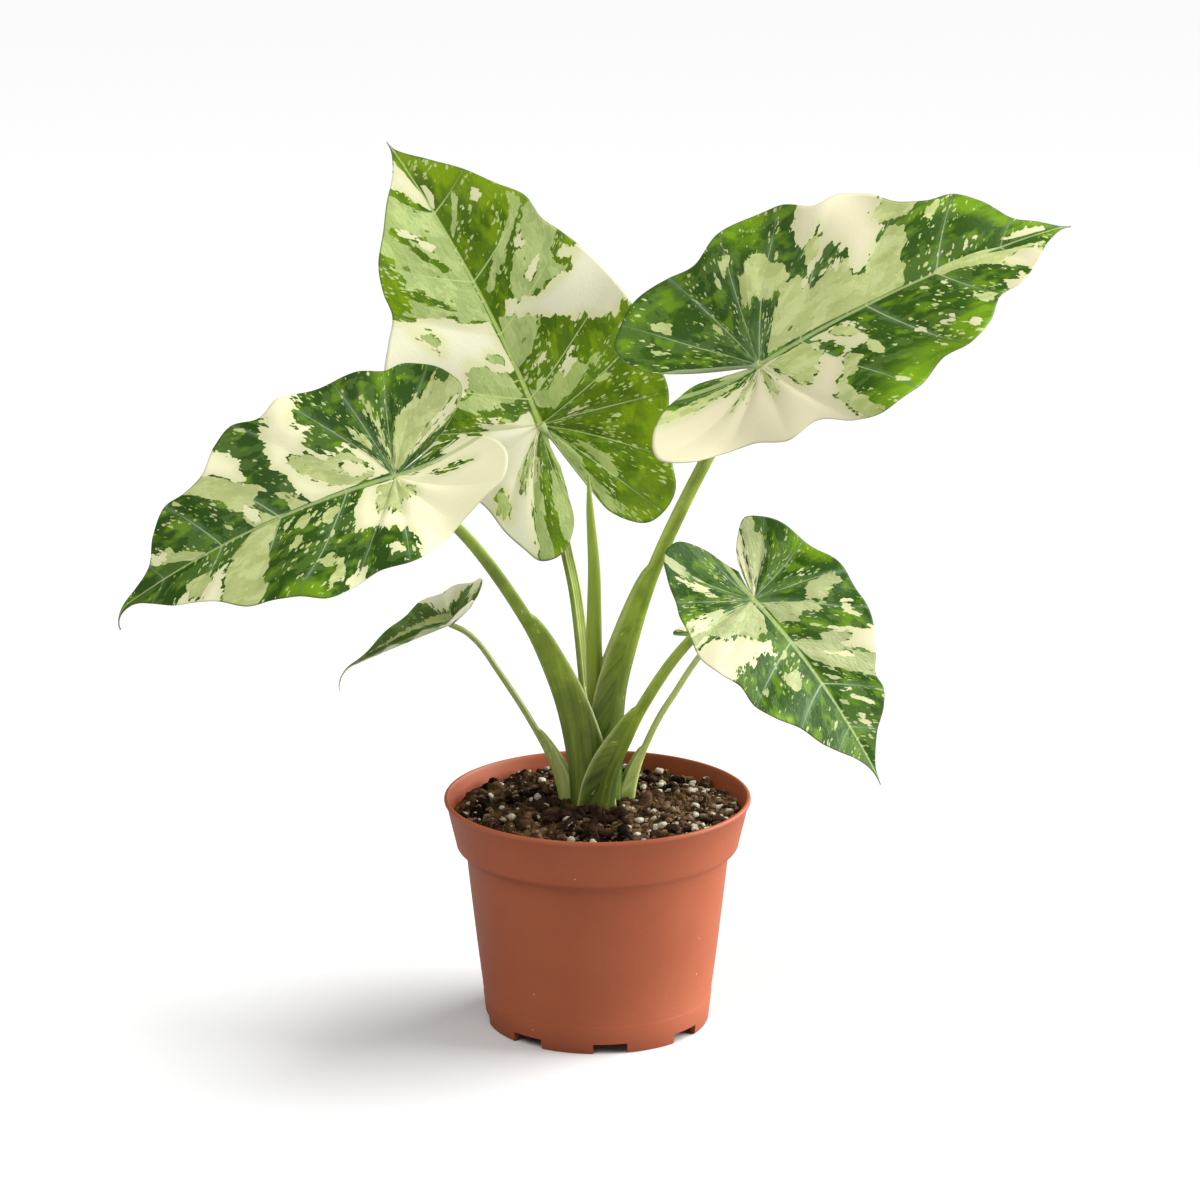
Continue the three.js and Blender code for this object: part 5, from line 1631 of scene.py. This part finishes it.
@dataclass
class Soil:
    """The potting mix: a dark mound of lumps and crumbs."""

    edge_radius: float = 79.5
    edge_height: float = 119.5
    mound_height: float = 125.5
    skirt_height: float = 104
    skirt_radius: float = 76.2
    grid_step: float = 0.4
    rings: int = 150
    around: int = 460
    lumps: int = 5600
    lump_radius: Pair = (0.6, 3.5)
    hollow_depth: float = 2.6
    swell: float = 5.0
    swell_width: float = 15.0
    crumb: float = 0.9
    crumb_width: float = 1.6
    highest_lump: float = 2.4
    lump_sunk: float = 0.35
    lump_squash: float = 0.9

    def __post_init__(self) -> None:
        """Seeds the draws and raises the lumps of the mound."""
        self.random = np.random.default_rng(41)
        half = int(self.edge_radius / self.grid_step) + 4
        self.line = (np.arange(2 * half + 1) - half) * self.grid_step
        self.heights = self._relief()

    def _relief(self) -> Array:
        """Returns the height field of the lumpy top, in millimetres, on a square grid."""
        x, y = np.meshgrid(self.line, self.line, indexing="ij")
        noise = ValueNoise(5)
        share = np.clip(np.hypot(x, y) / self.edge_radius, 0.0, 1.0)
        heights = self.mound_height - (self.mound_height - self.edge_height) * share**2 - self.hollow_depth
        heights = heights + self.swell * noise.layered(x / self.swell_width + 9, y / self.swell_width + 4, 4)
        smallest, largest = self.lump_radius
        for _ in range(self.lumps):
            radius = smallest + (largest - smallest) * self.random.random() ** 4
            angle = FULL_TURN * self.random.random()
            reach = (self.edge_radius - radius) * math.sqrt(self.random.random())
            px, py = around_axis(reach, angle)
            low = np.searchsorted(self.line, (px - radius, py - radius))
            high = np.searchsorted(self.line, (px + radius, py + radius))
            window = (slice(low[0], high[0]), slice(low[1], high[1]))
            distance = np.hypot(x[window] - px, y[window] - py)
            base = heights[int((low[0] + high[0]) / 2), int((low[1] + high[1]) / 2)]
            dome = np.sqrt(np.maximum(radius**2 - distance**2, 0.0)) * self.lump_squash
            bump = base - self.lump_sunk * radius + dome
            heights[window] = np.where(distance < radius, np.maximum(heights[window], bump), heights[window])
        heights += self.crumb * (noise.layered(x / self.crumb_width, y / self.crumb_width, 3) - 0.5)
        return np.minimum(heights, self.mound_height + self.highest_lump)

    def height_at(self, x: Array, y: Array) -> Array:
        """Returns the height of the lumpy top at places."""
        cells = (np.round((np.array(place) - self.line[0]) / self.grid_step).astype(int) for place in (x, y))
        return self.heights[tuple(np.clip(cell, 0, len(self.line) - 1) for cell in cells)]

    def stalk_gap(self, x: float, y: float) -> float:
        """Returns how far a place on the soil is from the nearest stalk."""
        gaps = []
        for form in LEAVES:
            foot, knee = np.array(form.stalk.route[:2], float)
            share = (self.mound_height - foot[2]) / (knee[2] - foot[2])
            at = foot + (knee - foot) * share
            wing = max(form.stalk.foot_radius, form.stalk.sheath_depth)
            gaps.append(math.hypot(x - at[0], y - at[1]) - wing)
        return min(gaps)

    def surface(self) -> Surface:
        """Returns the mound as a closed mesh with a skirt and a flat underside."""
        radii = self.edge_radius * np.linspace(0.0, 1.0, self.rings + 1)[:0:-1] ** 0.9
        angles = FULL_TURN * np.arange(self.around) / self.around
        x, y = around_axis(radii[:, None], angles)
        z = self.height_at(x, y)
        z[0] = np.minimum(z[0], self.edge_height)
        skirt = columns(*around_axis(self.skirt_radius, angles), self.skirt_height)
        return loft(np.concatenate([skirt[None], columns(x, y, z)]), {})

    def build(self, material: Material) -> None:
        """Makes the mound and lets it stand for its node."""
        piece = self.surface().to_object("potting_mix", material)
        place_piece(piece, Slot.SOIL, "soil")


@dataclass
class LooseMatter:
    """Small loose pieces of one kind that lie on the potting mix, all in one mesh."""

    name: str
    count: int
    seed: int

    def parts(self, soil: Soil) -> list[Surface]:
        """Returns the pieces one by one."""
        raise NotImplementedError

    def build(self, soil: Soil, material: Material) -> None:
        """Makes them on the soil."""
        parts = self.parts(soil)
        shifts = np.cumsum([0] + [len(part.points) for part in parts[:-1]])
        triangles = np.concatenate([part.triangles + shift for part, shift in zip(parts, shifts)])
        whole = Surface(np.concatenate([part.points for part in parts]), triangles, {})
        piece = whole.to_object(self.name, material)
        place_piece(piece, Slot.SOIL)


@dataclass
class Grains(LooseMatter):
    """Loose grains: perlite, bark or crumbs."""

    smallest: float
    largest: float
    stretch: float
    flatness: float
    boxiness: float
    roughness: float
    lean_to: float = 0.0
    lean_share: float = 0.0
    lean_spread: float = 0.7
    sunk: float = 0.25
    tilt: float = 0.35
    edge_clearance: float = 0.8
    stem_clearance: float = 2.0

    @staticmethod
    def template() -> tuple[Array, Array]:
        """Returns a round grain of radius one: its points and triangles."""
        made = bmesh.new()
        bmesh.ops.create_icosphere(made, subdivisions=2, radius=1.0)
        points = np.array([list(vert.co) for vert in made.verts])
        triangles = np.array([[vert.index for vert in face.verts] for face in made.faces])
        made.free()
        return points, triangles

    def places(self, soil: Soil, random: np.random.Generator) -> list[Triple]:
        """Draws where the grains lie, clear of the stalks, and how large each is."""
        found = []
        while len(found) < self.count:
            size = self.smallest + (self.largest - self.smallest) * random.random() ** 2.2
            reach = (soil.edge_radius - size - self.edge_clearance) * math.sqrt(random.random())
            angle = random.uniform(-math.pi, math.pi)
            if random.random() < self.lean_share:
                angle = math.radians(self.lean_to) + random.normal(0, self.lean_spread)
            x, y = around_axis(reach, angle)
            if soil.stalk_gap(x, y) > size + self.stem_clearance:
                found.append((x, y, size))
        return found

    def random_turn(self, random: np.random.Generator) -> Array:
        """Returns a random turn about the upright axis with a slight tilt, as a matrix."""
        turn = random.uniform(0, FULL_TURN)
        lean = random.normal(0, self.tilt)
        way = random.uniform(0, FULL_TURN)
        side = Matrix.Rotation(way, 3, "Z")
        over = side @ Matrix.Rotation(lean, 3, "X") @ side.transposed()
        return np.array(over @ Matrix.Rotation(turn, 3, "Z"))

    def parts(self, soil: Soil) -> list[Surface]:
        """Returns the grains one by one."""
        random = np.random.default_rng(self.seed)
        base, faces = self.template()
        boxed = base / np.max(np.abs(base), axis=1, keepdims=True) ** self.boxiness
        noise = ValueNoise(self.seed)
        grains = []
        for x, y, size in self.places(soil, random):
            lumps = noise.at(base[:, 0] * 1.7 + 9 * x, base[:, 1] * 1.7 + base[:, 2] * 1.3 + 9 * y) - 0.5
            grain = boxed * (1 + 2 * self.roughness * lumps[:, None])
            long_side = size * random.uniform(1.0, self.stretch)
            grain = grain * np.array([long_side, size, size * self.flatness])
            height = soil.height_at(x, y) + size * self.flatness * (0.5 - self.sunk)
            grain = grain @ self.random_turn(random).T + np.array([x, y, height])
            grains.append(Surface(grain, faces, {}))
        return grains


@dataclass
class Fibres(LooseMatter):
    """Root and coir fibres that lie over the potting mix, all over it or about one place."""

    shortest: float
    longest: float
    radius: float
    steps: int
    sides: int
    wander: float
    rise: float
    centre: Pair = (0.0, 0.0)
    spread: float = 0.0
    start_clearance: float = 3.0
    edge_clearance: float = 1.5
    stem_clearance: float = 1.2

    def parts(self, soil: Soil) -> list[Surface]:
        """Returns the fibres one by one."""
        random = np.random.default_rng(self.seed)
        fibres = []
        while len(fibres) < self.count:
            angle = random.uniform(-math.pi, math.pi)
            reach = (soil.edge_radius - self.start_clearance) * math.sqrt(random.random())
            place = np.array(around_axis(reach, angle))
            if self.spread > 0:
                place = np.array(self.centre) + random.normal(0, self.spread, 2)
            if np.hypot(*place) > soil.edge_radius - self.start_clearance:
                continue
            heading = random.uniform(0, FULL_TURN)
            step = random.uniform(self.shortest, self.longest) / self.steps
            line = []
            for _ in range(self.steps + 1):
                line.append((*place, soil.height_at(*place) + self.rise * random.uniform(0.4, 1.4)))
                heading += random.normal(0, self.wander)
                place = place + np.array(around_axis(step, heading))
                past_edge = np.hypot(*place) > soil.edge_radius - self.edge_clearance
                if past_edge or soil.stalk_gap(*place) < self.stem_clearance:
                    break
            if len(line) > self.steps / 2:
                fibres.append(self.tube(np.array(line), self.radius * random.uniform(0.6, 1.3)))
        return fibres

    def tube(self, line: Array, radius: float) -> Surface:
        """Returns a thin tube that tapers along a line."""
        places = np.linspace(0, len(line) - 1, 3 * len(line))
        centres = smooth_curve(line, places)
        ahead = unit(np.gradient(centres, axis=0))
        side = unit(np.cross(ahead, np.array([0.0, 0.0, 1.0])))
        above = np.cross(side, ahead)
        turn = FULL_TURN * np.arange(self.sides) / self.sides
        taper = radius * (1 - 0.6 * places / places[-1])
        round_it = np.cos(turn)[None, :, None] * side[:, None] + np.sin(turn)[None, :, None] * above[:, None]
        return loft(centres[:, None] - taper[:, None, None] * round_it, {})


@dataclass
class Studio:
    """The camera, the pale floor and the soft lights."""

    camera_place: Triple = (1.392, -2500.0, 929.57)
    camera_pitch: float = 0.2686
    focal_pixels: float = 4735.36
    frame_pixels: float = 1200.0
    sensor: float = 36.0
    farthest: float = 100.0
    floor_size: float = 16.0
    floor_seen: float = 0.77
    floor_bounce: float = 0.45
    floor_roughness: float = 0.9
    floor_specular: float = 0.1
    air_strength: float = 0.22
    key_place: Triple = (1.85, 0.62, 1.38)
    key_strength: float = 6.0
    key_angle: float = 60.0
    top_place: Triple = (-1.0, -1.2, 2.3)
    top_power: float = 44.0
    top_size: float = 1.8
    side_place: Triple = (1.8, -0.4, 0.4)
    side_power: float = 14.5
    side_size: float = 0.7
    look_at: Triple = (0.0, 0.0, 0.2)

    def camera(self) -> None:
        """Places the camera at the photograph's angle."""
        data = bpy.data.cameras.new("camera")
        data.sensor_width = self.sensor
        data.lens = self.focal_pixels / self.frame_pixels * self.sensor
        data.clip_end = self.farthest
        made = linked("camera", data)
        made.location = Vector(self.camera_place) * MM
        made.rotation_euler = (math.pi / 2 - self.camera_pitch, 0.0, 0.0)
        bpy.context.scene.camera = made

    def floor(self, groups: SharedGroups) -> None:
        """Lays a plain pale floor, lighter to the camera than in the light that it throws back."""
        half = self.floor_size / 2
        corners = [(-half, -half, 0), (half, -half, 0), (half, half, 0), (-half, half, 0)]
        mesh = bpy.data.meshes.new("floor")
        mesh.from_pydata(corners, [], [(0, 1, 2, 3)])
        bench = MaterialBench("pale floor", groups)
        seen = bench.node("ShaderNodeLightPath").outputs["Is Camera Ray"]
        bounce, straight = ((tone, tone, tone) for tone in (self.floor_bounce, self.floor_seen))
        bench.dress(bench.over(bounce, straight, seen), self.floor_roughness, self.floor_specular)
        mesh.materials.append(bench.material)
        linked("floor", mesh)

    def lamp(self, name: str, kind: str, energy: float, place: Triple, **settings: float) -> None:
        """Adds a light at a place in metres that looks at the plant."""
        data = bpy.data.lights.new(name, kind)
        data.energy = energy
        for label, value in settings.items():
            setattr(data, label, value)
        made = linked(name, data)
        made.location = place
        made.rotation_euler = (Vector(self.look_at) - Vector(place)).to_track_quat("-Z", "Y").to_euler()

    def build(self, groups: SharedGroups) -> None:
        """Sets up the whole studio."""
        self.camera()
        self.floor(groups)
        world = bpy.data.worlds.new("studio air")
        world.use_nodes = True
        air = world.node_tree.nodes["Background"].inputs
        air["Color"].default_value = (1.0, 1.0, 1.0, 1.0)
        air["Strength"].default_value = self.air_strength
        bpy.context.scene.world = world
        self.lamp("key", "SUN", self.key_strength, self.key_place, angle=math.radians(self.key_angle))
        self.lamp("top softbox", "AREA", self.top_power, self.top_place, size=self.top_size)
        self.lamp("side softbox", "AREA", self.side_power, self.side_place, size=self.side_size)
        bpy.context.scene.view_settings.view_transform = "Standard"


STALK_SKIN = StalkFinish("stalk skin")
YOUNG_STALK_SKIN = StalkFinish(
    "young stalk skin",
    low=(0.250, 0.350, 0.035), middle=(0.280, 0.380, 0.060), high=(0.330, 0.410, 0.110),
    pale=(0.620, 0.660, 0.300), banding=0.62, flecks=0.30,
)
YOUNG_LEAVES = ("leaf_5", "leaf_6")
ROLLED_SKIN = StalkFinish(
    "rolled leaf skin", low=(0.240, 0.345, 0.025), middle=(0.270, 0.370, 0.035), high=(0.210, 0.290, 0.040)
)
LEAF_SKINS = {
    # leaf_1's cream is paler than the others': painted light that makes up for the shade leaves 2 and 3 cast
    # on its lobes.
    "leaf_1": LeafFinish("leaf_1 skin", cream=(0.840, 0.810, 0.530), cream_edge=(0.700, 0.710, 0.400)),
    # leaf_2 stands against the light: a yellower painted backlight green and a greener painted sheen.
    "leaf_2": LeafFinish(
        "leaf_2 skin",
        deep=(0.040, 0.095, 0.003), middle=(0.082, 0.158, 0.005), backlit_green=(0.165, 0.270, 0.003),
        sheen=(0.085, 0.155, 0.036), sage=(0.245, 0.320, 0.118), sage_light=(0.470, 0.550, 0.225),
        cream=(0.670, 0.660, 0.475), vein=(0.450, 0.560, 0.180), vein_strength=0.60, marks=0.30,
    ),
    "leaf_3": LeafFinish("leaf_3 skin"),
    "leaf_4": LeafFinish("leaf_4 skin", sage=(0.300, 0.350, 0.140), sage_light=(0.480, 0.520, 0.270)),
    # leaf_5's colours are all much paler: painted light for a small leaf that hangs in the shade of leaf_1;
    # its subsurface scattering is real.
    "leaf_5": LeafFinish(
        "leaf_5 skin",
        deep=(0.110, 0.190, 0.045), middle=(0.210, 0.310, 0.100), sheen=(0.200, 0.300, 0.140),
        sage=(0.500, 0.560, 0.270), sage_light=(0.720, 0.750, 0.430), cream=(0.950, 0.900, 0.720),
        cream_edge=(0.860, 0.850, 0.600), under=(0.700, 0.720, 0.500), translucence=1.0,
    ),
    "leaf_6": LeafFinish("leaf_6 skin"),
}
PEAT = CrumbFinish("peat", dark=(0.005, 0.003, 0.001), light=(0.140, 0.079, 0.031), scale=140.0)
CORM_SKIN = CrumbFinish("corm skin", dark=(0.08, 0.045, 0.02), light=(0.22, 0.14, 0.07), scale=120.0)
FIBRE = CrumbFinish("fibre", dark=(0.090, 0.047, 0.022), light=(0.330, 0.205, 0.100), scale=200.0)

# What lies loose on the soil, in the order it is made, and its finish
ON_THE_SOIL = (
    (Grains("perlite", 330, seed=3, smallest=0.35, largest=2.4, stretch=1.3, flatness=0.8, boxiness=0.3,
            roughness=0.35, lean_to=-5, lean_share=0.4),
     CrumbFinish("perlite", dark=(0.62, 0.54, 0.38), light=(0.90, 0.84, 0.70), scale=400.0)),
    (Grains("bark", 70, seed=11, smallest=2.0, largest=5.0, stretch=2.2, flatness=0.55, boxiness=0.5,
            roughness=0.3),
     CrumbFinish("bark", dark=(0.022, 0.011, 0.006), light=(0.120, 0.066, 0.036), scale=150.0)),
    (Grains("crumbs", 620, seed=17, smallest=0.6, largest=2.2, stretch=1.7, flatness=0.7, boxiness=0.3,
            roughness=0.3, lean_to=-35, lean_share=0.4),
     CrumbFinish("pale crumbs", dark=(0.110, 0.062, 0.034), light=(0.340, 0.225, 0.130), scale=260.0)),
    (Fibres("fibres", 46, seed=23, shortest=7.0, longest=26.0, radius=0.38, steps=14, sides=7,
            wander=0.35, rise=0.8),
     FIBRE),
    (Fibres("coir", 620, seed=29, shortest=2.5, longest=8.0, radius=0.26, steps=4, sides=5, wander=0.5,
            rise=0.6, centre=(26.0, -14.0), spread=32.0),
     FIBRE),
    (Fibres("root_stubs", 26, seed=31, shortest=9.0, longest=20.0, radius=2.9, steps=7, sides=10,
            wander=0.22, rise=2.3, centre=(-9.0, -26.0), spread=13.0),
     CrumbFinish("root", dark=(0.010, 0.005, 0.003), light=(0.070, 0.036, 0.018), scale=60.0,
                 roughness=0.75)),
)


def dress_corm(frame: dict, groups: SharedGroups) -> None:
    """Gives the hidden corm its rough skin."""
    corm = frame["nodes"]["corm"]
    corm.data.materials.clear()
    corm.data.materials.append(CORM_SKIN.material(groups))
    LOG.info("corm: keeps its node")


def main() -> None:
    """Builds the plant, its pot and the studio around the frame."""
    logging.basicConfig(level=logging.INFO, format="%(message)s")
    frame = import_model()
    groups = SharedGroups()
    Studio().build(groups)
    Pot().build(PotFinish().material(groups))
    soil = Soil()
    soil.build(PEAT.material(groups))
    for loose, finish in ON_THE_SOIL:
        loose.build(soil, finish.material(groups))
    dress_corm(frame, groups)
    grown, young = STALK_SKIN.material(groups), YOUNG_STALK_SKIN.material(groups)
    for form in LEAVES:
        Stalk(form).build(young if form.name in YOUNG_LEAVES else grown)
        Blade(form).build(LEAF_SKINS[form.name].material(groups))
    NewLeaf().build(ROLLED_SKIN.material(groups))


if __name__ == "__main__":
    main()
